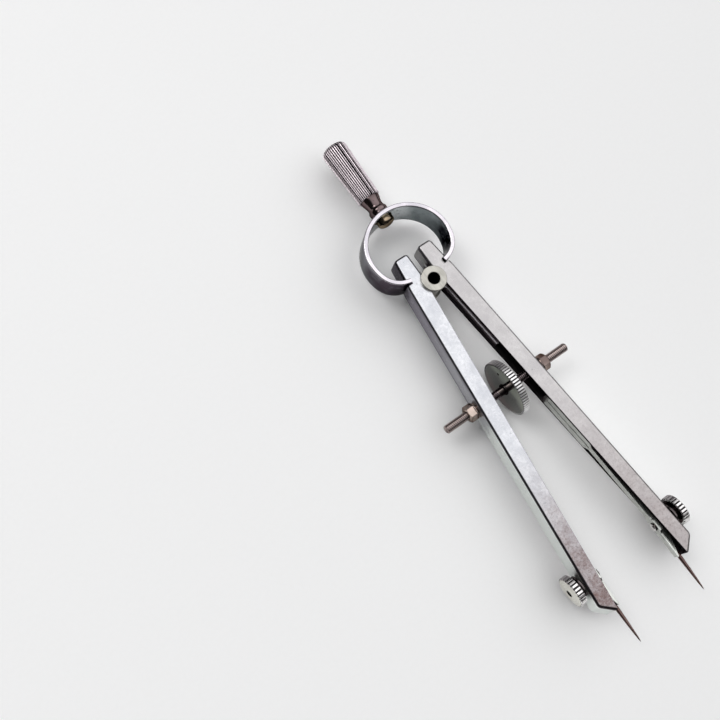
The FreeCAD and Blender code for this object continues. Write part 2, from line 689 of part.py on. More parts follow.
def nut():
    """Right-hand hexagon nut with a ball-shaped seat in the leg's hole."""
    pivot = nut_pivot()
    corner = NUT_ACROSS_FLATS / math.sqrt(3)
    corners = []
    for index in range(6):
        angle = math.radians(60 * index)
        offset = Vector(-NUT_INNER, corner * math.cos(angle), corner * math.sin(angle))
        corners.append(pivot + offset)
    face = Part.Face(Part.makePolygon(corners + corners[:1]))
    hexagon = face.extrude(Vector(NUT_INNER + NUT_OUTER, 0, 0))
    limit = turned(
        [(0, -NUT_INNER), (corner, -NUT_INNER), (corner, NUT_OUTER - NUT_CHAMFER),
         (corner - 2 * NUT_CHAMFER, NUT_OUTER), (0, NUT_OUTER)],
        pivot, X_AXIS,
    )
    ball = Part.makeSphere(NUT_BALL_RADIUS, pivot)
    seat_end = pivot.x - NUT_INNER + NUT_SEAT_OVERLAP
    seat = ball.common(box(pivot.x - NUT_BALL_REACH, seat_end, SCREW_Y - FAR, SCREW_Y + FAR, -FAR, FAR))
    bore = Part.makeCylinder(THREAD_MAJOR + RUNNING_PLAY, FAR, pivot - X_AXIS * (FAR / 2), X_AXIS)
    waist = Part.makeCylinder(corner, FAR, pivot - X_AXIS * (FAR / 2), X_AXIS)
    return hexagon.common(limit).fuse(seat.common(waist)).cut(bore)


# ---- write the sub-parts ----
BAND, ENVELOPE = ring_band()
export("handle", handle(ENVELOPE))
export("handle_screw", handle_screw(BAND))
export("spring_ring", spring_ring(BAND))
export("fulcrum_roller", fulcrum_roller())
export("adjusting_spindle", adjusting_spindle())
export("adjusting_wheel", adjusting_wheel())
export("wheel_collar", wheel_collar())

PAIRS = {
    "leg": leg(),
    "hinge_insert": hinge_insert(),
    "needle_holder": needle_holder(),
    "needle": needle(),
    "clamp_washer": clamp_washer(),
    "thumb_screw": thumb_screw(),
    "swivel_nut": nut(),
}
for name, shape in PAIRS.items():
    export(name + "_right", shape)
    export(name + "_left", mirrored(shape))
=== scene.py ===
import json
import math

import bmesh
import bpy
from mathutils import Matrix, Vector
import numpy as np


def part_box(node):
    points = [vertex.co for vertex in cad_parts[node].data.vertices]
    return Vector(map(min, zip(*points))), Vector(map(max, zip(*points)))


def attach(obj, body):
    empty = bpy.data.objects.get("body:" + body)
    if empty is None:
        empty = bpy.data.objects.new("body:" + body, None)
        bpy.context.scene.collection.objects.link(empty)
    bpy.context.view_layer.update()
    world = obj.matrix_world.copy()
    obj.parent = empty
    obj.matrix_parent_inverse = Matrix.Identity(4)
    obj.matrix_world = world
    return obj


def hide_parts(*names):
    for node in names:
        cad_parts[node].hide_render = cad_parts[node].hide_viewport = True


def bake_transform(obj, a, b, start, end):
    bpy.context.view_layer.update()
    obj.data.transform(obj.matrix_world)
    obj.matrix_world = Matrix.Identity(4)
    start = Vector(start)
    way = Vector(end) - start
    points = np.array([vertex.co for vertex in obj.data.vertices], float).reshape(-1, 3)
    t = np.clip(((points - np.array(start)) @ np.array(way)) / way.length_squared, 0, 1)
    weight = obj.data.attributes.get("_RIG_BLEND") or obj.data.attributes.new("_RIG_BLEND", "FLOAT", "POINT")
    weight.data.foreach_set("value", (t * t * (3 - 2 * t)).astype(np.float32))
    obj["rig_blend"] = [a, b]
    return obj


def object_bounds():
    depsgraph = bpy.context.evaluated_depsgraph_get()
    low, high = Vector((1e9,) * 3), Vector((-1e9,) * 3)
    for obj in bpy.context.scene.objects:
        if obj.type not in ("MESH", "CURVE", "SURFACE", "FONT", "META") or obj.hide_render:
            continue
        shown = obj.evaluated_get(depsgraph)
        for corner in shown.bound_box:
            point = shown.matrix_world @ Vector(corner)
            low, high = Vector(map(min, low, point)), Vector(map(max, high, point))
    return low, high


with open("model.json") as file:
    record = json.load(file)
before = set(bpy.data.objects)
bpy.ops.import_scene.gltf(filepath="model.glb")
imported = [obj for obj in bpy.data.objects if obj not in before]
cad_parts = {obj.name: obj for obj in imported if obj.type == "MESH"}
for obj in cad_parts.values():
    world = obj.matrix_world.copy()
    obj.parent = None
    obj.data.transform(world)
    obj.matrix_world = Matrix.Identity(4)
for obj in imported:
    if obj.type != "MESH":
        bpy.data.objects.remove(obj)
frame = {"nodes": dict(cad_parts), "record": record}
CAD_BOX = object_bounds()

# A spring-bow divider lying flat: +Y points to the handle, -Y to the needles, +Z up. The origin is in
# the bore of the roller on which the two legs turn.
# Lengths are in millimetres up to the mesh builders, which turn them into metres.
MM = 0.001
ORIGIN = Vector((0, 0, 0))
X_AXIS = Vector((1, 0, 0))
Y_AXIS = Vector((0, 1, 0))
Z_AXIS = Vector((0, 0, 1))
SIDES = {"right": 1, "left": -1}
# Angle between each leg and the middle plane.
HALF_OPEN = math.radians(5.85)

# ---- handle ----
GRIP_LOW_Y = 28.4
GRIP_TOP_Y = 46.3
GRIP_DOME = 1.7
GRIP_DOME_POWER = 0.55
GRIP_LOW_RADIUS = 3.20
GRIP_TOP_RADIUS = 3.70
GRIP_LOW_CHAMFER = (0.15, 0.16)
GRIP_LOW_FLUTE_SHARE = 0.7
GRIP_FACE_RADIUS = 0.25
GRIP_FADE_RATE = 1.25
GRIP_FADE_POWER = 0.7
GRIP_ROWS = 10
GRIP_FLUTES = 36
GRIP_STEPS_PER_FLUTE = 10
GRIP_FLUTE_WIDTH = 0.62
GRIP_FLUTE_DEPTH = 0.20
# Two flutes out of nine are cut wider and deeper.
GRIP_DEEP_EVERY = 9
GRIP_DEEP_PLACES = (0, 2)
GRIP_DEEP_WIDTH = 1.0
GRIP_DEEP_DEPTH = 0.38
# From the ring up, as (y, radius): a foot, a bead, a waist and a flare to the grip.
NECK_OUTLINE = (
    (22.62, 2.30), (22.95, 2.40), (23.45, 2.44), (23.62, 2.56), (23.90, 2.68), (24.35, 2.70),
    (24.75, 2.62), (25.02, 2.42), (25.30, 2.30), (25.70, 2.26), (26.20, 2.30), (26.80, 2.44),
    (27.40, 2.64), (27.85, 2.76), (28.20, 2.80), (28.38, 2.78),
)

# ---- screw inside the ring ----
HEAD_DOME_Y = 20.6
HEAD_DOME_HEIGHT = 1.2
HEAD_RADIUS = 2.45
HEAD_TOP_Y = 21.60
HEAD_SHANK_RADIUS = 1.0
HEAD_SHANK_TOP_Y = 22.9
DOME_STEP = 12

# ---- spring ring ----
RING_HALF_WIDTH = 4.56
RING_THICKNESS = 1.30
RING_TOP_Y = 22.25
RING_CENTRE_Y = 11.0
RING_HALF_X = 11.85
RING_ARC_LOW_Y = 9.0
RING_END_POINTS = ((11.15, 7.1), (10.15, 5.35), (8.85, 4.10), (7.35, 3.25), (5.50, 2.72))
RING_NOTCH = RING_END_POINTS[3]
RING_EDGE = 0.36
RING_ARC_POINTS = 12
RING_STEPS_PER_POINT = 8
RING_CORNER_STEPS = 4
RING_RIM_TILT = 0.22

# ---- adjusting screw and wheel ----
SCREW_Y = -34.1
ROD_HALF_LENGTH = 20.33
ROD_RADIUS = 1.20
ROD_CHAMFER = 0.30
ROD_THREAD_DEPTH = 0.10
ROD_THREAD_START = 3.0
ROD_THREAD_POWER = 1.6
ROD_PITCH = 0.50
ROD_ROWS_PER_PITCH = 8
ROD_STEPS = 28
# Nearer to the middle than this the rod is dark with oil and painted shade.
ROD_OIL_SHADE_X = 9.2
WHEEL_RADIUS = 8.0
WHEEL_HALF = 1.0
WHEEL_CHAMFER = 0.16
WHEEL_RIDGES = 60
WHEEL_STEPS_PER_RIDGE = 8
WHEEL_RIDGE_DEPTH = 0.30
WHEEL_RIM_WIDTH = 0.5
HUB_RADIUS = 1.62
HUB_REACH = 1.30
HUB_EDGE = 0.12
HUB_BORE_RADIUS = 1.22
DOT_RADIUS = 0.40
DOT_DEPTH = 0.30
DOT_CONE = 0.20
DOT_OFFSET = 5.1
DOT_ANGLE = math.radians(38)

# ---- legs ----
LEG_HALF_DEPTH = 3.44
LEG_INNER_DEPTH = 2.6
END_START_Y = -89.5
END_FULL_Y = -92.0
END_REACH = 1.3
END_SLOPE = math.radians(52)

# ---- clamp screws and needle holders ----
CLAMP_Y = -84.9
CLAMP_HEAD_RADIUS = 4.2
CLAMP_HEAD_LENGTH = 1.90
CLAMP_CROWN = 0.30
CLAMP_RIDGES = 26
CLAMP_STEPS_PER_RIDGE = 14
CLAMP_RIDGE_DEPTH = 0.42
CLAMP_SHANK_RADIUS = 1.08
CLAMP_TIP_RADIUS = 0.75
CLAMP_BRIGHT_TIP = 2.0
CLAMP_COLLAR_RADIUS = 2.30
CLAMP_COLLAR_LENGTH = 0.75
CLAMP_DIMPLE_RADIUS = 0.95
HOLDER_HALF_WIDTH = 1.10
HOLDER_EYE_REACH = 3.0
HOLDER_EYE_SHARE = 0.5

# ---- needles ----
NEEDLE_X = 10.95
NEEDLE_RADIUS = 0.55
NEEDLE_TOP_Y = -88.4
NEEDLE_TAPER_Y = -95.2
NEEDLE_TIP_Y = -104.7
NEEDLE_TIP_RADIUS = 0.035
NEEDLE_TAPER_POWER = 0.55
NEEDLE_TAPER_ROWS = 14

# ---- studio, in metres ----
FLOOR_HALF = 3.0
SKY_CENTRE = (0.42, 0.10, 0.90)
SKY_STOPS = [(0.0, 0.03), (0.40, 0.03), (0.58, 0.10), (0.74, 0.80), (0.88, 1.0)]
SKY_BLUE = 1.01
SKY_STRENGTH = 1.45
KEY_PLACE = (-0.30, 0.45, 0.75)
KEY_SIZE = 0.4
KEY_POWER = 2.0
KEY_AIM = (0, -0.03, 0)
CAMERA_PLACE = (-0.0855, -0.0372, 0.2232)
CAMERA_ROLL = 0.6155
CAMERA_TILT = -0.1224
CAMERA_SWING = 0.2455
CAMERA_SENSOR = 36.0
CAMERA_LENS = 45.11
CAMERA_SHIFT_Y = 0.01393
CAMERA_CLIP = (0.01, 20)

# ---- grain of the materials, in cells per metre ----
LEG_GRAIN = (5200, 160, 5200)
LEG_FROST = 1900
LEG_CLOUDS = 170
LEG_RUST = 1500
LEG_PITS = 1100
TARNISH_PATCHES = 1150
TARNISH_BLOTCHES = 190
WALL_STREAKS = (700, 26, 700)
RING_SCRATCHES = (500, 500, 5000)
RING_WAVES = 150
RING_SMUDGES = 420
POLISH_SCRATCHES = (300, 300, 4000)
POLISH_WAVES = 160
POLISH_SPECKS = 1500
OIL_PATCHES = 900
GROOVE_GRIME = 1600
GROOVE_CLOUDS = 260
TURNING_MARKS = 450
TURNED_CLOUDS = 330
ROLLED_GRAIN = (3800, 110, 3800)
ROLLED_CLOUDS = 300
FLOOR_TOOTH = 900

# Nearly all of a noise lies between the first two values, and the greater part between the others.
WIDE = (0.2, 0.8)
MOST = (0.3, 0.7)


# ---- mesh helpers ----
def axis_frame(axis):
    """Two directions square to an axis that isn't along Z."""
    side = Z_AXIS.cross(axis).normalized()
    return side, axis.cross(side)


def new_object(name, bm, sharp_angle=32.0):
    """Turns a bmesh in millimetres into an object in metres with smooth faces and sharp corners."""
    bmesh.ops.recalc_face_normals(bm, faces=bm.faces)
    bmesh.ops.scale(bm, vec=(MM, MM, MM), verts=bm.verts)
    mesh = bpy.data.meshes.new(name)
    bm.to_mesh(mesh)
    bm.free()
    mesh.shade_smooth()
    mesh.set_sharp_from_angle(angle=math.radians(sharp_angle))
    piece = bpy.data.objects.new(name, mesh)
    bpy.context.scene.collection.objects.link(piece)
    return piece


def soften(piece, width, angle):
    """Rounds a piece's edges that are sharper than an angle."""
    bevel = piece.modifiers.new("rounding", "BEVEL")
    bevel.width = width * MM
    bevel.segments = 2
    bevel.limit_method = "ANGLE"
    bevel.angle_limit = math.radians(angle)
    bevel.harden_normals = True
    bevel.use_clamp_overlap = True


def join_loops(bm, low, high):
    """Makes the faces between two closed loops of equal length."""
    for step in range(len(low)):
        after = (step + 1) % len(low)
        bm.faces.new((low[step], low[after], high[after], high[step]))


def turned(name, rings, axis, centre=ORIGIN, steps=96, shape=None, count=0, sharp_angle=32.0):
    """A turned piece. rings are (along, radius, groove depth), closed at both ends on the axis.

    shape(turns) gives the share of the groove depth, where one turn is one of count equal pitches.
    The share is kept on the mesh as "groove" for the materials.
    """
    side, up = axis_frame(axis)
    bm = bmesh.new()
    groove = bm.verts.layers.float.new("groove")
    loops = []
    for along, radius, depth in rings:
        loop = []
        for step in range(steps):
            angle = 2 * math.pi * step / steps
            cut = shape(angle * count / (2 * math.pi)) if shape else 0.0
            outward = side * math.cos(angle) + up * math.sin(angle)
            vert = bm.verts.new(centre + axis * along + outward * (radius - depth * cut))
            vert[groove] = cut if depth else 0.0
            loop.append(vert)
        loops.append(loop)
    for low, high in zip(loops, loops[1:]):
        join_loops(bm, low, high)
    for loop, along in ((loops[0], rings[0][0]), (loops[-1], rings[-1][0])):
        middle = bm.verts.new(centre + axis * along)
        for step in range(steps):
            bm.faces.new((loop[step], loop[(step + 1) % steps], middle))
    return new_object(name, bm, sharp_angle)


def refined(node, width):
    """A CAD node's shape with welded faces and its edges rounded over a width."""
    weld_gap, flat_angle, corner_angle = 0.002, 0.6, 28.0
    bm = bmesh.new()
    bm.from_mesh(frame["nodes"][node].data)
    bmesh.ops.remove_doubles(bm, verts=bm.verts, dist=weld_gap * MM)
    bmesh.ops.dissolve_limit(bm, angle_limit=math.radians(flat_angle), verts=bm.verts, edges=bm.edges)
    bmesh.ops.scale(bm, vec=(1 / MM, 1 / MM, 1 / MM), verts=bm.verts)
    piece = new_object(node + "_finished", bm, corner_angle)
    soften(piece, width, corner_angle)
    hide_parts(node)
    return piece


def body_of_node(node):
    """The CAD body that a node belongs to."""
    for body, members in frame["record"]["behaviour"]["bodies"].items():
        if node in members:
            return body
    raise KeyError(node)


def finish_piece(piece, node, *materials):
    """Gives a piece its materials, and lets it ride on its node's body unless it blends between two bodies.
    """
    piece.data.materials.clear()
    for material in materials:
        piece.data.materials.append(material)
    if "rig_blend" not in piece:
        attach(piece, body_of_node(node))


# ---- materials ----
# Colours of painted dark reflection along the legs' bends and corners, of oil with painted shade along
# corners, of painted shade on the knurls' side towards the handle and in the deepest flutes, of oil with
# painted shade on the rod's middle, and the width of the dark lines along corners.
BEND_PAINTED_REFLECTION = (0.035, 0.03, 0.035)
EDGE_PAINTED_REFLECTION = (0.08, 0.06, 0.08)
EDGE_LINE = 0.22
EDGE_OIL_AND_SHADE = (0.035, 0.028, 0.028)
OIL_LINE = 0.30
KNURL_PAINTED_SHADE = (0.12, 0.10, 0.11)
DEEP_PAINTED_SHADE = (0.012, 0.010, 0.012)
ROD_OIL_AND_SHADE = (0.13, 0.105, 0.11)

# Colours of the painted reflection on a leg's side wall, with painted shade at the head, and the values of Y
# and Z between which each one comes in. Noise shifts the values of Y by up to WALL_UNEVEN.
WALL_HEAD_PAINTED_REFLECTION = (0.34, 0.32, 0.37)
WALL_MIDDLE_PAINTED_REFLECTION = (0.50, 0.50, 0.53)
WALL_MIDDLE_Y = (-4, -30)
WALL_LOW_PAINTED_REFLECTION = (0.94, 0.98, 0.95)
WALL_LOW_Y = (-33, -44)
WALL_TOP_PAINTED_SHADE = (0.10, 0.09, 0.11)
WALL_TOP_Y = (-2, 3)
WALL_RIM_PAINTED_REFLECTION = (0.10, 0.085, 0.12)
WALL_RIM_Y = (-42, -30)
WALL_RIM_Z = (1.6, 3.2)
WALL_UNEVEN = 4

# Tilt of the surface between which a leg's wall, bends and flat faces take over, from 0 on upright
# walls to 1 where it lies flat.
WALL_TILT = (0.45, 0.16)
BEND_TILT = (0.985, 0.90)
BEND_LOW_TILT = (0.22, 0.50)
FACE_TILT = (0.90, 0.98)

# Where the insert's painted highlight along its groove and its head clear of painted shade lie, the stretch
# of the rod with oil and painted shade, and the wheel face's lower part with painted shade.
GROOVE_Z = (0.62, 0.45)
INSERT_HEAD_Y = (4.2, 5.6)
OIL_FADE = 0.4
WHEEL_PAINTED_SHADE_Z = (5.0, 0.5)
WHEEL_LOWEST_PAINTED_SHADE_Z = (-1.5, -6.0)


class Nodes:
    """Short way to build a node tree."""

    def __init__(self, name):
        self.material = bpy.data.materials.new(name)
        self.material.use_nodes = True
        self.tree = self.material.node_tree
        self.shader = self.tree.nodes["Principled BSDF"]
        self.shader.inputs["Metallic"].default_value = 1.0
        self.coordinates = self.tree.nodes.new("ShaderNodeTexCoord").outputs["Object"]

    def link(self, value, socket):
        """Connects an output, or sets a constant."""
        if isinstance(value, bpy.types.NodeSocket):
            self.tree.links.new(value, socket)
        else:
            socket.default_value = value

    def stretched(self, scale, angle=0.0):
        """Object coordinates turned about Z and scaled per axis."""
        turn = self.tree.nodes.new("ShaderNodeMapping")
        turn.vector_type = "POINT"
        turn.inputs["Rotation"].default_value = (0, 0, angle)
        self.link(self.coordinates, turn.inputs["Vector"])
        size = self.tree.nodes.new("ShaderNodeMapping")
        size.inputs["Scale"].default_value = scale
        self.link(turn.outputs["Vector"], size.inputs["Vector"])
        return size.outputs["Vector"]

    def noise(self, scale, detail, roughness, vector=None):
        """Noise between 0 and 1, with so many cells per metre or along a vector that is scaled already."""
        node = self.tree.nodes.new("ShaderNodeTexNoise")
        node.inputs["Scale"].default_value = scale
        node.inputs["Detail"].default_value = detail
        node.inputs["Roughness"].default_value = roughness
        self.link(vector or self.coordinates, node.inputs["Vector"])
        return node.outputs["Fac"]

    def streaks(self, cells, detail, roughness, angle=0.0):
        """Noise whose cells per metre differ along X, Y and Z, turned about Z."""
        return self.noise(1.0, detail, roughness, self.stretched(cells, angle))

    def span(self, value, low, high, new_low=0.0, new_high=1.0):
        """A value moved from one range to another and held inside it."""
        node = self.tree.nodes.new("ShaderNodeMapRange")
        node.interpolation_type = "SMOOTHSTEP"
        self.link(value, node.inputs["Value"])
        node.inputs["From Min"].default_value = low
        node.inputs["From Max"].default_value = high
        node.inputs["To Min"].default_value = new_low
        node.inputs["To Max"].default_value = new_high
        return node.outputs["Result"]

    def between(self, value, places, new_low=0.0, new_high=1.0):
        """Like span, with the first range as two places in millimetres."""
        return self.span(value, places[0] * MM, places[1] * MM, new_low, new_high)

    def uneven(self, value, noise, reach):
        """A value shifted up and down by noise, by so many millimetres at most."""
        return self.plus(value, self.span(noise, *WIDE, -reach * MM, reach * MM))

    def math(self, operation, first, second=0.0):
        """One arithmetic step."""
        node = self.tree.nodes.new("ShaderNodeMath")
        node.operation = operation
        self.link(first, node.inputs[0])
        self.link(second, node.inputs[1])
        return node.outputs[0]

    def plus(self, first, second):
        """Sum of two values."""
        return self.math("ADD", first, second)

    def times(self, first, *others):
        """Product of values."""
        for other in others:
            first = self.math("MULTIPLY", first, other)
        return first

    def unsigned(self, value):
        """A value without its sign."""
        return self.math("ABSOLUTE", value)

    def mix(self, share, first, second):
        """Two colours mixed, the second one by share."""
        node = self.tree.nodes.new("ShaderNodeMix")
        node.data_type = "RGBA"
        self.link(share, node.inputs["Factor"])
        colours = [socket for socket in node.inputs if socket.type == "RGBA"]
        for value, socket in zip((first, second), colours):
            self.link(value if isinstance(value, bpy.types.NodeSocket) else (*value, 1.0), socket)
        return next(socket for socket in node.outputs if socket.type == "RGBA")

    def place(self, axis):
        """One object coordinate."""
        node = self.tree.nodes.new("ShaderNodeSeparateXYZ")
        self.link(self.coordinates, node.inputs[0])
        return node.outputs[axis]

    def attribute(self, name):
        """A value stored on the mesh."""
        node = self.tree.nodes.new("ShaderNodeAttribute")
        node.attribute_name = name
        return node.outputs["Fac"]

    def edges(self, radius):
        """1 within a radius of a corner, 0 on flats."""
        flat, corner = 0.999, 0.93
        bevel = self.tree.nodes.new("ShaderNodeBevel")
        bevel.samples = 4
        bevel.inputs["Radius"].default_value = radius * MM
        plain = self.tree.nodes.new("ShaderNodeNewGeometry")
        dot = self.tree.nodes.new("ShaderNodeVectorMath")
        dot.operation = "DOT_PRODUCT"
        self.link(bevel.outputs["Normal"], dot.inputs[0])
        self.link(plain.outputs["Normal"], dot.inputs[1])
        return self.span(dot.outputs["Value"], flat, corner)

    def tilt(self):
        """1 where the surface lies flat, 0 on upright walls."""
        geometry = self.tree.nodes.new("ShaderNodeNewGeometry")
        split = self.tree.nodes.new("ShaderNodeSeparateXYZ")
        self.link(geometry.outputs["Normal"], split.inputs[0])
        return self.unsigned(split.outputs["Z"])

    def bump(self, height, distance, under=None):
        """Surface relief, in millimetres."""
        node = self.tree.nodes.new("ShaderNodeBump")
        node.inputs["Strength"].default_value = 1.0
        node.inputs["Distance"].default_value = distance * MM
        self.link(height, node.inputs["Height"])
        if under is not None:
            self.link(under, node.inputs["Normal"])
        return node.outputs["Normal"]

    def done(self, colour, roughness, normal=None, grazing=1.0):
        """Connects the shader. grazing dulls the metal's glare at flat angles, as oxide and oil do."""
        self.shader.inputs["Specular Tint"].default_value = (grazing, grazing, grazing, 1.0)
        self.link(colour if isinstance(colour, bpy.types.NodeSocket) else (*colour, 1.0),
                  self.shader.inputs["Base Color"])
        self.link(roughness, self.shader.inputs["Roughness"])
        if normal is not None:
            self.link(normal, self.shader.inputs["Normal"])
        return self.material


def darker(colour, share):
    """A colour with each channel brought down to a share of itself."""
    return tuple(channel * share for channel in colour)


def leg_nickel(name, angle, base, cloud, stain, stain_y, stain_share, bend_share):
    """Satin nickel plate: frosty fine mottle, a faint lengthwise grain and tarnish towards the needle end.

    stain_y gives the two values of Y between which the tarnish grows. The bends and the corners of the flat
    faces carry painted dark reflection, and the side walls a painted reflection that goes from violet grey
    at the head to pale at the needle end.
    """
    n = Nodes(name)
    grain = n.streaks(LEG_GRAIN, 4.0, 0.6, angle)
    frost = n.noise(LEG_FROST, 5.0, 0.7)
    clouds = n.noise(LEG_CLOUDS, 4.0, 0.6)
    tarnish = leg_tarnish(n, stain_y, stain_share)
    tilt = n.tilt()
    colour = n.mix(n.span(clouds, 0.30, 0.72), base, cloud)
    colour = n.mix(n.span(frost, 0.35, 0.70, 0.0, 0.75), colour, cloud)
    colour = n.mix(tarnish, colour, stain)
    rust = n.times(tarnish, n.span(n.noise(LEG_RUST, 5.0, 0.85), 0.48, 0.62, 0.0, 0.65))
    colour = n.mix(rust, colour, darker(stain, 0.4))
    pits = n.span(n.noise(LEG_PITS, 1.0, 0.5), 0.74, 0.80, 0.0, 0.45)
    colour = n.mix(pits, colour, darker(cloud, 0.45))
    # The side walls take painted reflection and painted shade.
    colour = n.mix(n.span(tilt, *WALL_TILT), colour, painted_wall_reflection(n, clouds, angle))
    # Painted dark reflection along the bends and along the corners of the flat faces.
    bend = n.times(n.span(tilt, *BEND_TILT), n.span(tilt, *BEND_LOW_TILT), bend_share)
    colour = n.mix(bend, colour, BEND_PAINTED_REFLECTION)
    edge = n.times(n.edges(EDGE_LINE), n.span(tilt, *FACE_TILT), bend_share, 0.8)
    colour = n.mix(edge, colour, EDGE_PAINTED_REFLECTION)
    rough = n.plus(n.span(frost, *MOST, 0.20, 0.32), n.span(grain, *MOST, 0.0, 0.08))
    rough = n.plus(rough, n.times(tarnish, 0.08))
    normal = n.bump(grain, 0.0018, n.bump(clouds, 0.006, n.bump(frost, 0.0025)))
    return n.done(colour, rough, normal, 0.7)


def leg_tarnish(n, stain_y, stain_share):
    """How strongly the plate is tarnished: patchy, and growing between the two values of stain_y."""
    patches = n.span(n.noise(TARNISH_PATCHES, 6.0, 0.85), 0.36, 0.62, 0.70, 1.0)
    blotches = n.span(n.noise(TARNISH_BLOTCHES, 4.0, 0.6), 0.36, 0.58, 0.72, 1.0)
    return n.times(n.between(n.place("Y"), stain_y), patches, blotches, stain_share)


def painted_wall_reflection(n, clouds, angle):
    """Painted reflection on a leg's side wall along its length, with painted shade at the head and a dark
    streaky painted reflection above the nut.
    """
    along = n.uneven(n.place("Y"), clouds, WALL_UNEVEN)
    wall = n.mix(n.between(along, WALL_MIDDLE_Y), WALL_HEAD_PAINTED_REFLECTION, WALL_MIDDLE_PAINTED_REFLECTION)
    wall = n.mix(n.between(along, WALL_LOW_Y), wall, WALL_LOW_PAINTED_REFLECTION)
    wall = n.mix(n.between(along, WALL_TOP_Y), wall, WALL_TOP_PAINTED_SHADE)
    rim = n.between(n.unsigned(n.place("Z")), WALL_RIM_Z)
    streaks = n.span(n.streaks(WALL_STREAKS, 3.0, 0.6, angle), 0.25, 0.60, 0.45, 1.0)
    return n.mix(n.times(rim, streaks, n.between(along, WALL_RIM_Y)), wall, WALL_RIM_PAINTED_REFLECTION)


def painted_ring_reflection(name, pale, mid, dark, rough):
    """Polished band with painted reflection that turns from pale at its top over mid to dark at its two
    ends.
    """
    n = Nodes(name)
    height = n.math("SUBTRACT", n.place("Y"), RING_CENTRE_Y * MM)
    turn = n.unsigned(n.math("ARCTAN2", n.place("X"), height))
    wave = n.noise(RING_WAVES, 3.0, 0.5)
    turn = n.plus(turn, n.span(wave, *WIDE, -0.30, 0.30))
    scratches = n.streaks(RING_SCRATCHES, 3.0, 0.7)
    smudges = n.span(n.noise(RING_SMUDGES, 4.0, 0.65), 0.50, 0.66, 0.0, 0.55)
    colour = n.mix(n.span(turn, 0.20, 0.95), pale, mid)
    colour = n.mix(n.span(turn, 0.95, 1.85), colour, dark)
    colour = n.mix(n.span(scratches, 0.5, 0.8, 0.0, 0.25), colour, mid)
    colour = n.mix(smudges, colour, darker(mid, 0.6))
    roughness = n.plus(n.span(wave, *MOST, rough, rough + 0.06), n.span(scratches, 0.4, 0.8, 0.0, 0.08))
    return n.done(colour, roughness, n.bump(scratches, 0.0015, n.bump(wave, 0.010)), 0.35)


def polished(name, base, shade, rough, waviness=0.01, grazing=0.8, oil_and_shade_edges=0.0):
    """Polished plate: faint scratches, a slight waviness and small dull specks.

    rough gives the lowest and the highest roughness; the last argument gives the share of dark oil and
    painted shade on the corners.
    """
    n = Nodes(name)
    wave = n.noise(POLISH_WAVES, 2.0, 0.5)
    scratches = n.streaks(POLISH_SCRATCHES, 3.0, 0.7)
    specks = n.span(n.noise(POLISH_SPECKS, 2.0, 0.6), 0.66, 0.74, 0.0, 0.6)
    colour = n.mix(n.span(wave, *MOST), base, shade)
    colour = n.mix(specks, colour, darker(shade, 0.4))
    # Dark oil and painted shade along the corners.
    if oil_and_shade_edges:
        patches = n.span(n.noise(OIL_PATCHES, 3.0, 0.6), 0.25, 0.50, 0.5, 1.0)
        colour = n.mix(n.times(n.edges(OIL_LINE), patches, oil_and_shade_edges), colour, EDGE_OIL_AND_SHADE)
    roughness = n.plus(n.span(wave, *MOST, *rough), n.span(scratches, 0.4, 0.7, 0.0, 0.06))
    return n.done(colour, roughness, n.bump(scratches, 0.0012, n.bump(wave, waviness)), grazing)


def grooved(name, land, valley_dirt_and_shade, rough, depths, oil_shade_x=0.0, painted_shade_y=None):
    """Fluted or knurled metal: worn bright lands, valleys dark with grime and painted shade, black painted
    shade in the deepest ones.

    rough gives the roughness of lands and valleys, depths the groove shares where grime and painted shade
    start and are full. Nearer to the middle plane than the given X it is dark with oil and painted shade.
    Between the two given values of Y it takes painted shade, growing towards the handle.
    """
    n = Nodes(name)
    depth = n.attribute("groove")
    grime = n.noise(GROOVE_GRIME, 3.0, 0.65)
    broad = n.noise(GROOVE_CLOUDS, 3.0, 0.5)
    dirt_and_shade = n.times(n.span(depth, *depths), n.span(grime, 0.2, 0.6, 0.75, 1.0))
    colour = n.mix(n.span(broad, *MOST), land, darker(land, 0.84))
    colour = n.mix(n.span(grime, 0.55, 0.75, 0.0, 0.3), colour, valley_dirt_and_shade)
    # Painted shade on the side towards the handle.
    if painted_shade_y:
        dull = n.between(n.uneven(n.place("Y"), broad, 0.6), painted_shade_y, 0.0, 0.7)
        colour = n.mix(dull, colour, KNURL_PAINTED_SHADE)
    # Grime and painted shade in the valleys, black painted shade in the deepest flutes.
    colour = n.mix(dirt_and_shade, colour, valley_dirt_and_shade)
    colour = n.mix(n.span(depth, 1.1, 1.5), colour, DEEP_PAINTED_SHADE)
    # Oil and painted shade on the middle of the rod.
    if oil_shade_x:
        oil_shade = n.between(n.unsigned(n.place("X")), (oil_shade_x + OIL_FADE, oil_shade_x))
        colour = n.mix(oil_shade, colour, ROD_OIL_AND_SHADE)
    roughness = n.plus(n.span(dirt_and_shade, 0.0, 1.0, *rough), n.span(grime, *MOST, 0.0, 0.08))
    return n.done(colour, roughness, n.bump(grime, 0.002, n.bump(broad, 0.006)), 0.5)


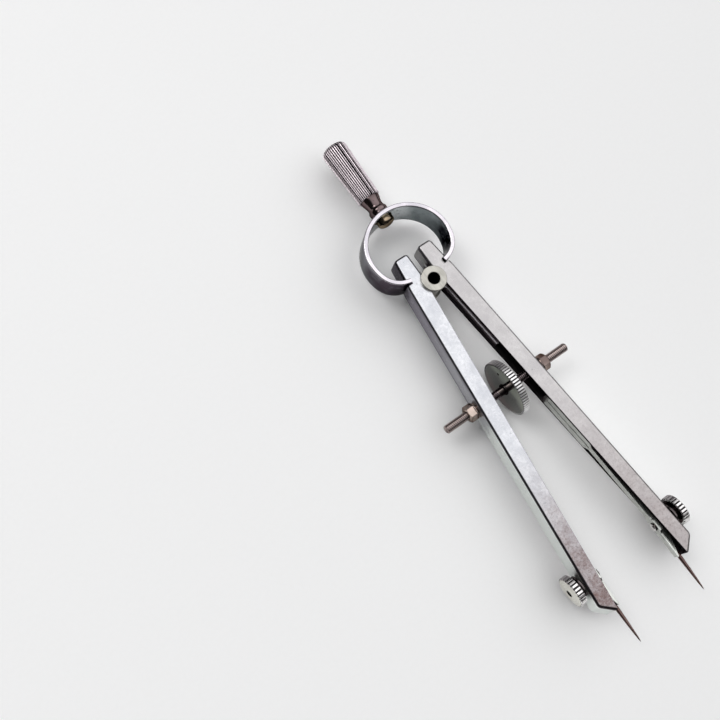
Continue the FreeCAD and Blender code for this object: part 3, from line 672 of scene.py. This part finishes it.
def turned_face(name, base, shade, centre_y, rough, low=None):
    """Satin metal with concentric turning marks round an axis along X.

    low gives the colours of painted shade from just above the axis down, and at its lowest part.
    """
    n = Nodes(name)
    shift = n.tree.nodes.new("ShaderNodeMapping")
    shift.inputs["Location"].default_value = (0, -centre_y * MM, 0)
    n.link(n.coordinates, shift.inputs["Vector"])
    rings = n.tree.nodes.new("ShaderNodeTexWave")
    rings.wave_type = "RINGS"
    rings.rings_direction = "X"
    rings.inputs["Scale"].default_value = TURNING_MARKS
    rings.inputs["Distortion"].default_value = 1.2
    rings.inputs["Detail"].default_value = 2.0
    n.link(shift.outputs["Vector"], rings.inputs["Vector"])
    marks = rings.outputs["Fac"]
    clouds = n.noise(TURNED_CLOUDS, 4.0, 0.6)
    colour = n.mix(n.span(clouds, *MOST), base, shade)
    # Painted shade on the lower part of the face.
    if low:
        height = n.uneven(n.place("Z"), clouds, 1.2)
        colour = n.mix(n.between(height, WHEEL_PAINTED_SHADE_Z), colour, low[0])
        colour = n.mix(n.between(height, WHEEL_LOWEST_PAINTED_SHADE_Z), colour, low[1])
    colour = n.mix(n.span(marks, 0.2, 0.9, 0.0, 0.18), colour, darker(shade, 0.6))
    roughness = n.plus(n.span(clouds, *MOST, *rough), n.span(marks, 0.0, 1.0, 0.0, 0.05))
    return n.done(colour, roughness, n.bump(marks, 0.002, n.bump(clouds, 0.008)))


def rolled(name, base, shade, rough, angle=0.0, grazing=0.8, head=None, groove=None):
    """Plain rolled strip with a lengthwise grain.

    The colour given for the head is its colour at the leg's head, clear of the painted shade in the channel;
    the one given for the groove is a painted highlight along the middle of its face.
    """
    n = Nodes(name)
    grain = n.streaks(ROLLED_GRAIN, 4.0, 0.65, angle)
    clouds = n.noise(ROLLED_CLOUDS, 4.0, 0.6)
    colour = n.mix(n.span(grain, *MOST), base, shade)
    colour = n.mix(n.span(clouds, 0.4, 0.7, 0.0, 0.5), colour, darker(shade, 0.7))
    if groove:
        colour = n.mix(n.between(n.unsigned(n.place("Z")), GROOVE_Z), colour, groove)
    if head:
        colour = n.mix(n.between(n.place("Y"), INSERT_HEAD_Y), colour, head)
    roughness = n.span(grain, *WIDE, rough, rough + 0.14)
    return n.done(colour, roughness, n.bump(grain, 0.004, n.bump(clouds, 0.01)), grazing)


def floor_matt():
    """Pale matt floor with a fine tooth."""
    n = Nodes("floor_matt")
    n.shader.inputs["Metallic"].default_value = 0.0
    tooth = n.noise(FLOOR_TOOTH, 3.0, 0.5)
    colour = n.mix(tooth, (0.93, 0.93, 0.925), (0.96, 0.96, 0.955))
    return n.done(colour, n.span(tooth, 0, 1, 0.75, 0.9), n.bump(tooth, 0.02))


# One plating on both legs: the left copy is painted paler as painted light, the right one darker as painted
# shade, and the left has the stronger painted dark reflection on its bends and corners.
LEG_NICKEL = {
    "right": leg_nickel("leg_nickel_right_shaded", HALF_OPEN, (0.54, 0.525, 0.522), (0.42, 0.405, 0.408),
                        (0.30, 0.255, 0.25), (-30, -90), 0.70, 0.50),
    "left": leg_nickel("leg_nickel_left_lit", -HALF_OPEN, (0.68, 0.685, 0.705), (0.49, 0.50, 0.53),
                       (0.19, 0.13, 0.122), (-44, -88), 1.0, 0.92),
}
# Painted shade inside the legs' channels.
LEG_INSIDE_PAINTED_SHADE = rolled("leg_inside_painted_shade", (0.10, 0.085, 0.09), (0.04, 0.035, 0.04), 0.28, grazing=0.2)
# Painted shade on the inserts inside the channel, with a painted highlight along their groove.
INSERT_SHADE_AND_HIGHLIGHT = {
    side: rolled("insert_painted_shade_" + side, (0.15, 0.13, 0.14), (0.05, 0.04, 0.045), 0.20, sign * HALF_OPEN,
                 grazing=0.3, head=(0.46, 0.45, 0.45), groove=(1.0, 0.98, 1.0))
    for side, sign in SIDES.items()
}
HOLDER_STEEL = {
    side: rolled("holder_rolled_" + side, (0.72, 0.74, 0.70), (0.48, 0.49, 0.46), 0.22, sign * HALF_OPEN)
    for side, sign in SIDES.items()
}
NEEDLE_STEEL = rolled("needle_ground", (0.20, 0.13, 0.12), (0.09, 0.055, 0.05), 0.14)
ROLLER_STEEL = rolled("roller_satin", (0.50, 0.485, 0.44), (0.36, 0.35, 0.32), 0.26)
# Painted shade in bores, dimples and the wheel's drilled dot.
BORE_PAINTED_SHADE = rolled("bore_painted_shade", (0.05, 0.045, 0.04), (0.02, 0.018, 0.017), 0.45, grazing=0.1)

RING_RIM = polished("ring_rim", (0.72, 0.68, 0.72), (0.52, 0.50, 0.54), (0.12, 0.20), 0.006)
# Painted reflection on the band's walls: pale at the top, dark towards the ends.
RING_OUTER = painted_ring_reflection("ring_outer", (0.68, 0.70, 0.72), (0.46, 0.46, 0.49), (0.12, 0.10, 0.12), 0.08)
RING_INNER = painted_ring_reflection("ring_inner", (0.92, 0.96, 0.97), (0.32, 0.36, 0.37), (0.014, 0.011, 0.016), 0.10)

GRIP_STEEL = grooved("grip_fluted", (0.94, 0.84, 0.88), (0.03, 0.022, 0.026), (0.26, 0.45), (0.10, 0.60))
NECK_STEEL = polished("neck_polished", (0.20, 0.15, 0.15), (0.035, 0.026, 0.028), (0.04, 0.10), 0.020, 0.2)
HEAD_STEEL = polished("handle_screw_steel", (0.50, 0.39, 0.27), (0.05, 0.04, 0.03), (0.04, 0.10), 0.020, 0.2)

ROD_STEEL = grooved("rod_threaded", (0.44, 0.365, 0.345), (0.10, 0.075, 0.075), (0.08, 0.20),
                    (0.35, 0.9), oil_shade_x=ROD_OIL_SHADE_X)
NUT_STEEL = polished("nut_polished", (0.56, 0.46, 0.405), (0.16, 0.12, 0.11), (0.05, 0.10), 0.016, 0.2,
                     oil_and_shade_edges=0.9)
COLLAR_STEEL = polished("collar_steel", (0.72, 0.70, 0.69), (0.58, 0.56, 0.55), (0.12, 0.22))
# Knurls with painted shade on the side towards the handle.
WHEEL_RIM = grooved("wheel_knurled", (0.84, 0.83, 0.83), (0.035, 0.03, 0.03), (0.34, 0.5), (0.10, 0.6),
                    painted_shade_y=(SCREW_Y + 2.5, SCREW_Y + 6.5))
# Painted reflection on the wheel face: pale green-grey above, with painted shade below the axis and at its
# lowest part.
WHEEL_FACE_PAINTED_REFLECTION = turned_face("wheel_face", (0.60, 0.63, 0.54), (0.42, 0.45, 0.38), SCREW_Y, (0.07, 0.13),
                         ((0.15, 0.15, 0.14), (0.20, 0.155, 0.15)))

# Knurls with painted shade on the side towards the handle.
CLAMP_RIM = grooved("clamp_knurled", (0.86, 0.84, 0.83), (0.035, 0.03, 0.03), (0.20, 0.5), (0.10, 0.7),
                    painted_shade_y=(CLAMP_Y + 1.5, CLAMP_Y + 3.4))
CLAMP_FACE = turned_face("clamp_face", (0.88, 0.87, 0.80), (0.72, 0.70, 0.64), CLAMP_Y, (0.26, 0.38))
# Painted shade: the dark stems, collars and hubs, and the washers between the clamp heads and the legs.
STEM_PAINTED_SHADE = polished("clamp_stem", (0.12, 0.10, 0.10), (0.05, 0.045, 0.045), (0.15, 0.25), 0.01, 0.2)
WASHER_PAINTED_SHADE = polished("washer_painted_shade", (0.14, 0.12, 0.12), (0.07, 0.06, 0.06), (0.16, 0.26), 0.01, 0.3)


# ---- handle ----
def flute_shape(turns):
    """Rounded lands with narrow grooves between them, one groove in a few cut wider and deeper."""
    across = abs(turns % 1.0 - 0.5) * 2
    if int(turns) % GRIP_DEEP_EVERY in GRIP_DEEP_PLACES:
        return max(0.0, 1 - across / GRIP_DEEP_WIDTH) ** 0.35 * GRIP_DEEP_DEPTH / GRIP_FLUTE_DEPTH
    return max(0.0, 1 - across / GRIP_FLUTE_WIDTH) ** 0.5


def make_handle():
    """Fluted grip and polished neck, one turned piece."""
    chamfer_length, chamfer_depth = GRIP_LOW_CHAMFER
    grip_start = GRIP_LOW_Y + chamfer_length
    dome_base = GRIP_TOP_Y - GRIP_DOME
    rings = [(y, radius, 0.0) for y, radius in NECK_OUTLINE]
    low_depth = GRIP_FLUTE_DEPTH * GRIP_LOW_FLUTE_SHARE
    rings.append((GRIP_LOW_Y, GRIP_LOW_RADIUS - chamfer_depth, low_depth))
    for row in range(GRIP_ROWS + 1):
        share = row / GRIP_ROWS
        radius = GRIP_LOW_RADIUS + (GRIP_TOP_RADIUS - GRIP_LOW_RADIUS) * share
        rings.append((grip_start + (dome_base - grip_start) * share, radius, GRIP_FLUTE_DEPTH))
    for degrees in range(DOME_STEP, 90, DOME_STEP):
        angle = math.radians(degrees)
        radius = GRIP_TOP_RADIUS * math.cos(angle) ** GRIP_DOME_POWER
        fade = max(0.0, math.cos(angle * GRIP_FADE_RATE)) ** GRIP_FADE_POWER
        rings.append((dome_base + GRIP_DOME * math.sin(angle), radius, GRIP_FLUTE_DEPTH * fade))
    rings.append((GRIP_TOP_Y, GRIP_FACE_RADIUS, 0.0))
    piece = turned("handle_grip", rings, Y_AXIS, steps=GRIP_FLUTES * GRIP_STEPS_PER_FLUTE,
                   shape=flute_shape, count=GRIP_FLUTES, sharp_angle=50)
    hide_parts("handle")
    finish_piece(piece, "handle", GRIP_STEEL, NECK_STEEL)
    neck_top = (NECK_OUTLINE[-1][0] + 0.01) * MM
    for face in piece.data.polygons:
        if face.center.y < neck_top:
            face.material_index = 1


def make_handle_screw():
    """Domed screw head inside the ring, with its shank through the band."""
    rings = [(HEAD_DOME_Y - HEAD_DOME_HEIGHT, 0.12, 0.0)]
    for degrees in range(DOME_STEP // 2, 91, DOME_STEP):
        angle = math.radians(degrees)
        rings.append((HEAD_DOME_Y - HEAD_DOME_HEIGHT * math.cos(angle), HEAD_RADIUS * math.sin(angle), 0.0))
    rings += [
        (HEAD_TOP_Y - 0.25, HEAD_RADIUS - 0.03, 0.0),
        (HEAD_TOP_Y - 0.08, HEAD_RADIUS - 0.15, 0.0),
        (HEAD_TOP_Y, HEAD_SHANK_RADIUS, 0.0),
        (HEAD_SHANK_TOP_Y, HEAD_SHANK_RADIUS, 0.0),
    ]
    piece = turned("handle_screw_head", rings, Y_AXIS)
    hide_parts("handle_screw")
    finish_piece(piece, "handle_screw", HEAD_STEEL)


# ---- spring ring ----
def smooth_line(points, steps):
    """Smooth line through points, with so many steps between two of them."""
    padded = [points[0] * 2 - points[1]] + points + [points[-1] * 2 - points[-2]]
    line = []
    for index in range(len(points) - 1):
        a, b, c, d = padded[index:index + 4]
        for step in range(steps):
            t = step / steps
            line.append(0.5 * (2 * b + (c - a) * t + (2 * a - 5 * b + 4 * c - d) * t * t
                               + (3 * b - a - 3 * c + d) * t ** 3))
    line.append(points[-1])
    return line


def ring_line():
    """Midline of the right half of the band, from its top."""
    half_y = RING_TOP_Y - RING_CENTRE_Y
    end_angle = math.acos((RING_ARC_LOW_Y - RING_CENTRE_Y) / half_y)
    points = []
    for step in range(RING_ARC_POINTS + 1):
        angle = end_angle * step / RING_ARC_POINTS
        points.append(Vector((RING_HALF_X * math.sin(angle), RING_CENTRE_Y + half_y * math.cos(angle), 0)))
    points += [Vector((x, y, 0)) for x, y in RING_END_POINTS]
    line = smooth_line(points, RING_STEPS_PER_POINT)
    # A short first step keeps the faces next to the joint of the two halves flat.
    return [line[0], line[0].lerp(line[1], 0.04)] + line[1:]


def band_section():
    """Rounded rectangle, as (across the thickness, along the width)."""
    half_t = RING_THICKNESS / 2 - RING_EDGE
    half_w = RING_HALF_WIDTH - RING_EDGE
    points = []
    for sign_t, sign_w, start in ((1, 1, 0), (-1, 1, 90), (-1, -1, 180), (1, -1, 270)):
        for step in range(RING_CORNER_STEPS + 1):
            angle = math.radians(start + 90 * step / RING_CORNER_STEPS)
            across = sign_t * half_t + RING_EDGE * math.cos(angle)
            points.append((across, sign_w * half_w + RING_EDGE * math.sin(angle)))
    return points


def make_ring():
    """The band in two halves that meet at the handle, each bending from the handle to its leg."""
    line = ring_line()
    section = band_section()
    for side, sign in SIDES.items():
        bm = bmesh.new()
        loops = []
        for index, spot in enumerate(line):
            along = (line[min(index + 1, len(line) - 1)] - line[max(index - 1, 0)]).normalized()
            out = Vector((-along.y, along.x, 0)) if index else Y_AXIS
            points = [spot + out * across + Z_AXIS * width for across, width in section]
            loops.append([bm.verts.new((point.x * sign, point.y, point.z)) for point in points])
        for low, high in zip(loops, loops[1:]):
            join_loops(bm, low, high)
        bm.faces.new(loops[0])
        bm.faces.new(loops[-1])
        piece = new_object("ring_spring_" + side, bm, sharp_angle=40)
        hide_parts("spring_ring")
        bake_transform(piece, "frame", "leg_" + side, start=(0, RING_TOP_Y * MM, 0),
                 end=(sign * RING_NOTCH[0] * MM, RING_NOTCH[1] * MM, 0))
        finish_piece(piece, "spring_ring", RING_RIM, RING_OUTER, RING_INNER)
        paint_ring(piece)


def paint_ring(piece):
    """Walls take the polished materials with painted reflection, the rims stay bright."""
    centre = Vector((0, RING_CENTRE_Y, 0))
    for face in piece.data.polygons:
        if abs(face.normal.z) < RING_RIM_TILT:
            outward = face.normal.dot(face.center / MM - centre) > 0
            face.material_index = 1 if outward else 2


# ---- adjusting screw and wheel ----
def make_rod():
    """Threaded rod with a right-hand thread on the right and a left-hand one on the left."""
    row_gap = ROD_PITCH / ROD_ROWS_PER_PITCH
    rows = int(ROD_HALF_LENGTH / row_gap)
    bm = bmesh.new()
    groove = bm.verts.layers.float.new("groove")
    loops = []
    for row in range(-rows, rows + 1):
        x = row * row_gap
        run_in = min(1.0, max(0.0, (abs(x) - ROD_THREAD_START) / ROD_PITCH))
        chamfer = max(0.0, ROD_CHAMFER - (ROD_HALF_LENGTH - abs(x)))
        loop = []
        for step in range(ROD_STEPS):
            angle = 2 * math.pi * step / ROD_STEPS
            phase = 2 * math.pi * abs(x) / ROD_PITCH + angle
            cut = (0.5 + 0.5 * math.cos(phase)) ** ROD_THREAD_POWER * run_in
            radius = ROD_RADIUS - ROD_THREAD_DEPTH * cut - chamfer
            vert = bm.verts.new((x, SCREW_Y + radius * math.cos(angle), radius * math.sin(angle)))
            vert[groove] = cut
            loop.append(vert)
        loops.append(loop)
    for low, high in zip(loops, loops[1:]):
        join_loops(bm, low, high)
    bm.faces.new(loops[0])
    bm.faces.new(loops[-1])
    piece = new_object("spindle_thread", bm, sharp_angle=50)
    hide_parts("adjusting_spindle")
    finish_piece(piece, "adjusting_spindle", ROD_STEEL)


def ridge_shape(turns):
    """A flat-topped ridge with sloping flanks."""
    valley_half, flank = 0.46, 0.30
    across = abs(turns % 1.0 - 0.5) * 2
    return min(1.0, max(0.0, (valley_half - across) / flank))


def wheel_rings():
    """Rings of the wheel and its hubs, from its left end to its right end."""
    bevel, depth = WHEEL_CHAMFER, WHEEL_RIDGE_DEPTH
    low_half = [
        (-HUB_REACH, HUB_BORE_RADIUS, 0.0),
        (-HUB_REACH, HUB_RADIUS - HUB_EDGE, 0.0),
        (-HUB_REACH + HUB_EDGE, HUB_RADIUS, 0.0),
        (-WHEEL_HALF, HUB_RADIUS, 0.0),
        (-WHEEL_HALF, WHEEL_RADIUS - bevel - depth * 1.2, 0.0),
        (-WHEEL_HALF, WHEEL_RADIUS - bevel, depth * 0.45),
        (-WHEEL_HALF + bevel * 0.5, WHEEL_RADIUS - bevel * 0.25, depth * 0.85),
        (-WHEEL_HALF + bevel, WHEEL_RADIUS, depth),
    ]
    return low_half + [(-along, radius, groove) for along, radius, groove in reversed(low_half)]


def make_wheel():
    """Knurled wheel with a short hub on each side and a small drilled dot on its left face."""
    centre = Vector((0, SCREW_Y, 0))
    sharp_angle = 28
    piece = turned("wheel_knurl", wheel_rings(), X_AXIS, centre, WHEEL_RIDGES * WHEEL_STEPS_PER_RIDGE,
                   ridge_shape, WHEEL_RIDGES, sharp_angle)
    dot = centre + Vector((-WHEEL_HALF, DOT_OFFSET * math.cos(DOT_ANGLE), DOT_OFFSET * math.sin(DOT_ANGLE)))
    drill_tip = [(DOT_DEPTH, DOT_RADIUS, 0.0), (DOT_DEPTH + DOT_CONE, 0.02, 0.0)]
    drill = turned("drill", [(-0.5, DOT_RADIUS, 0.0)] + drill_tip, X_AXIS, dot, 24)
    cut = piece.modifiers.new("dot", "BOOLEAN")
    cut.object = drill
    cut.operation = "DIFFERENCE"
    cut.solver = "EXACT"
    apply_modifiers(piece, sharp_angle)
    bpy.data.objects.remove(drill)
    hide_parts("adjusting_wheel")
    finish_piece(piece, "adjusting_wheel", WHEEL_RIM, WHEEL_FACE_PAINTED_REFLECTION, BORE_PAINTED_SHADE, STEM_PAINTED_SHADE)
    # The drilled dot takes painted shade and the hubs the dark stem steel with painted shade.
    for face in piece.data.polygons:
        offset = face.center / MM - centre
        away = math.hypot(offset.y, offset.z)
        in_dot = (face.center / MM - dot).length < DOT_RADIUS + 0.08
        if in_dot and offset.x > -WHEEL_HALF + 0.01:
            face.material_index = 2
        elif abs(offset.x) > WHEEL_HALF + 0.05:
            face.material_index = 3
        elif abs(face.normal.x) > 0.9 and away < WHEEL_RADIUS - WHEEL_RIM_WIDTH:
            face.material_index = 1


def apply_modifiers(piece, sharp_angle):
    """Replaces a piece's mesh by the one its modifiers make."""
    graph = bpy.context.evaluated_depsgraph_get()
    mesh = bpy.data.meshes.new_from_object(piece.evaluated_get(graph))
    piece.modifiers.clear()
    piece.data = mesh
    mesh.shade_smooth()
    mesh.set_sharp_from_angle(angle=math.radians(sharp_angle))


# ---- clamp screws and needles ----
def clamp_rings(tip, head_low, head_high):
    """Rings of a clamp screw from its shank's tip to the dimple in its domed face."""
    radius, depth = CLAMP_HEAD_RADIUS, CLAMP_RIDGE_DEPTH
    collar = head_low - CLAMP_COLLAR_LENGTH
    shank = [
        (tip, CLAMP_TIP_RADIUS, 0.0),
        (tip + 0.25, CLAMP_SHANK_RADIUS, 0.0),
        (collar - 0.02, CLAMP_SHANK_RADIUS, 0.0),
        (collar, CLAMP_COLLAR_RADIUS - 0.15, 0.0),
        (collar + 0.12, CLAMP_COLLAR_RADIUS, 0.0),
        (head_low - 0.02, CLAMP_COLLAR_RADIUS, 0.0),
    ]
    knurl = [
        (head_low, radius - 0.75, 0.0),
        (head_low + 0.03, radius - 0.22, depth * 0.5),
        (head_low + 0.16, radius, depth),
        (head_high - 0.22, radius, depth),
        (head_high - 0.07, radius - 0.10, depth * 0.8),
        (head_high, radius - 0.26, depth * 0.35),
    ]
    crown = [
        (head_high + 0.03, radius - 0.50, 0.0),
        (head_high + 0.15, radius * 0.66, 0.0),
        (head_high + 0.24, radius * 0.38, 0.0),
    ]
    dimple = [
        (head_high + 0.27, CLAMP_DIMPLE_RADIUS, 0.0),
        (head_high + 0.16, CLAMP_DIMPLE_RADIUS - 0.11, 0.0),
        (head_high - 0.16, CLAMP_DIMPLE_RADIUS - 0.35, 0.0),
        (head_high - 0.22, 0.05, 0.0),
    ]
    return shank + knurl + crown + dimple


def make_clamp(side, sign):
    """Knurled clamp screw, as long as its CAD node."""
    node = "thumb_screw_" + side
    tip, top = sorted(abs(corner.x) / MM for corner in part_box(node))
    head_high = top - CLAMP_CROWN
    head_low = head_high - CLAMP_HEAD_LENGTH
    rings = clamp_rings(tip, head_low, head_high)
    piece = turned("clamp_screw_" + side, rings, X_AXIS * sign, Vector((0, CLAMP_Y, 0)),
                   CLAMP_RIDGES * CLAMP_STEPS_PER_RIDGE, ridge_shape, CLAMP_RIDGES, sharp_angle=30)
    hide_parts(node)
    finish_piece(piece, node, CLAMP_RIM, CLAMP_FACE, STEM_PAINTED_SHADE, BORE_PAINTED_SHADE)
    # The dimple takes painted shade and the stem and collar the dark stem steel with painted shade.
    dimple = CLAMP_DIMPLE_RADIUS - 0.02
    for face in piece.data.polygons:
        along = abs(face.center.x) / MM
        away = math.hypot(face.center.y / MM - CLAMP_Y, face.center.z / MM)
        if along > head_high + 0.01 and dimple < away < CLAMP_HEAD_RADIUS - 0.3:
            face.material_index = 1
        elif along > head_high - 0.5 and away < dimple:
            face.material_index = 3
        elif tip + CLAMP_BRIGHT_TIP < along < head_low + 0.01 and away < CLAMP_HEAD_RADIUS - 0.8:
            face.material_index = 2


def make_needle(side, sign):
    """Round needle, straight in its sleeve and then a long, full taper."""
    rings = [(-NEEDLE_TOP_Y, NEEDLE_RADIUS, 0.0), (-NEEDLE_TAPER_Y, NEEDLE_RADIUS, 0.0)]
    for row in range(1, NEEDLE_TAPER_ROWS + 1):
        share = row / NEEDLE_TAPER_ROWS
        radius = NEEDLE_RADIUS * (1 - share) ** NEEDLE_TAPER_POWER + NEEDLE_TIP_RADIUS * share
        rings.append((-NEEDLE_TAPER_Y + (NEEDLE_TAPER_Y - NEEDLE_TIP_Y) * share, radius, 0.0))
    piece = turned("needle_point_" + side, rings, -Y_AXIS, Vector((sign * NEEDLE_X, 0, 0)), steps=48)
    node = "needle_" + side
    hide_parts(node)
    finish_piece(piece, node, NEEDLE_STEEL)


# ---- legs, needle holders and roller ----
def slant_end(piece, sign):
    """Lets the leg's lower flange reach a little further than the upper one at the needle end."""
    across = Vector((sign * math.cos(END_SLOPE), -math.sin(END_SLOPE), 0))
    for vert in piece.data.vertices:
        spot = vert.co / MM
        past = (spot.y - END_START_Y) / (END_FULL_Y - END_START_Y)
        share = min(1.0, max(0.0, past)) * (LEG_HALF_DEPTH - spot.z) / (2 * LEG_HALF_DEPTH)
        vert.co += across * END_REACH * share * MM


def make_leg(side, sign):
    """Channel leg: plated outside, dull inside with painted shade."""
    node = "leg_" + side
    piece = refined(node, width=0.10)
    slant_end(piece, sign)
    finish_piece(piece, node, LEG_NICKEL[side], LEG_INSIDE_PAINTED_SHADE)
    for face in piece.data.polygons:
        height, normal = face.center.z, face.normal
        faces_inward = height * normal.z < -0.9 * abs(height) or normal.x * sign < -0.7
        if faces_inward and abs(height) <= LEG_INNER_DEPTH * MM:
            face.material_index = 1


def make_holder(side):
    """Needle holder with its eye round the clamp screw narrower than in CAD."""
    node = "needle_holder_" + side
    piece = refined(node, width=0.07)
    for vert in piece.data.vertices:
        spot = vert.co / MM
        if abs(spot.y - CLAMP_Y) < HOLDER_EYE_REACH and abs(spot.z) > HOLDER_HALF_WIDTH:
            narrowed = HOLDER_HALF_WIDTH + (abs(spot.z) - HOLDER_HALF_WIDTH) * HOLDER_EYE_SHARE
            vert.co.z = math.copysign(narrowed, spot.z) * MM
    finish_piece(piece, node, HOLDER_STEEL[side])


def make_roller():
    """Flanged spool with painted shade in its bore."""
    piece = refined("fulcrum_roller", width=0.10)
    finish_piece(piece, "fulcrum_roller", ROLLER_STEEL, BORE_PAINTED_SHADE)
    for face in piece.data.polygons:
        spot, normal = face.center, face.normal
        if spot.x * normal.x + spot.y * normal.y < 0 and abs(normal.z) < 0.5:
            face.material_index = 1


def make_plain(node, material, rounding):
    """A piece that keeps its CAD shape, with rounded edges."""
    finish_piece(refined(node, rounding), node, material)


# ---- build the pieces ----
make_handle()
make_handle_screw()
make_ring()
make_rod()
make_wheel()
for side, sign in SIDES.items():
    make_clamp(side, sign)
    make_needle(side, sign)
    make_leg(side, sign)
    make_plain("hinge_insert_" + side, INSERT_SHADE_AND_HIGHLIGHT[side], rounding=0.08)
    make_holder(side)
    make_plain("swivel_nut_" + side, NUT_STEEL, rounding=0.10)
    make_plain("clamp_washer_" + side, WASHER_PAINTED_SHADE, rounding=0.08)
make_roller()
make_plain("wheel_collar", COLLAR_STEEL, rounding=0.10)


# ---- studio ----
def make_floor():
    """A wide pale floor under the lowest point."""
    level = CAD_BOX[0].z
    bm = bmesh.new()
    signs = ((-1, -1), (1, -1), (1, 1), (-1, 1))
    bm.faces.new([bm.verts.new((x * FLOOR_HALF, y * FLOOR_HALF, level)) for x, y in signs])
    mesh = bpy.data.meshes.new("floor")
    bm.to_mesh(mesh)
    bm.free()
    floor = bpy.data.objects.new("floor", mesh)
    bpy.context.scene.collection.objects.link(floor)
    mesh.materials.append(floor_matt())


def make_world():
    """One very large soft light overhead and to the right, in an otherwise dark room."""
    world = bpy.data.worlds.new("studio")
    bpy.context.scene.world = world
    world.use_nodes = True
    tree = world.node_tree
    background = tree.nodes["Background"]
    coordinates = tree.nodes.new("ShaderNodeTexCoord")
    facing = tree.nodes.new("ShaderNodeVectorMath")
    facing.operation = "DOT_PRODUCT"
    facing.inputs[1].default_value = Vector(SKY_CENTRE).normalized()
    tree.links.new(coordinates.outputs["Generated"], facing.inputs[0])
    ramp = tree.nodes.new("ShaderNodeValToRGB")
    ramp.color_ramp.interpolation = "EASE"
    elements = ramp.color_ramp.elements
    while len(elements) < len(SKY_STOPS):
        elements.new(0.5)
    for element, (place, level) in zip(elements, SKY_STOPS):
        element.position = place
        element.color = (level, level, level * SKY_BLUE, 1.0)
    tree.links.new(facing.outputs["Value"], ramp.inputs["Fac"])
    tree.links.new(ramp.outputs["Color"], background.inputs["Color"])
    background.inputs["Strength"].default_value = SKY_STRENGTH


def make_key_light():
    """A square soft light aimed at the object from above, beyond the handle and to the left."""
    data = bpy.data.lights.new("key_light", "AREA")
    data.shape = "RECTANGLE"
    data.size = KEY_SIZE
    data.size_y = KEY_SIZE
    data.energy = KEY_POWER
    light = bpy.data.objects.new("key_light", data)
    light.location = KEY_PLACE
    light.rotation_mode = "QUATERNION"
    light.rotation_quaternion = (Vector(KEY_AIM) - Vector(KEY_PLACE)).to_track_quat("-Z", "Y")
    bpy.context.scene.collection.objects.link(light)


def make_camera():
    """Camera almost overhead, left of the legs, rolled so that they run to the lower right."""
    roll = Matrix.Rotation(CAMERA_ROLL, 3, "Z")
    tilt = Matrix.Rotation(CAMERA_TILT, 3, "X")
    swing = Matrix.Rotation(CAMERA_SWING, 3, "Y")
    turn = (roll @ tilt @ swing).transposed().to_4x4()
    data = bpy.data.cameras.new("camera")
    data.sensor_width = CAMERA_SENSOR
    data.lens = CAMERA_LENS
    data.shift_y = CAMERA_SHIFT_Y
    data.clip_start, data.clip_end = CAMERA_CLIP
    camera = bpy.data.objects.new("camera", data)
    camera.matrix_world = Matrix.Translation(CAMERA_PLACE) @ turn
    bpy.context.scene.collection.objects.link(camera)
    bpy.context.scene.camera = camera


make_floor()
make_world()
make_key_light()
make_camera()
bpy.context.scene.view_settings.view_transform = "Standard"
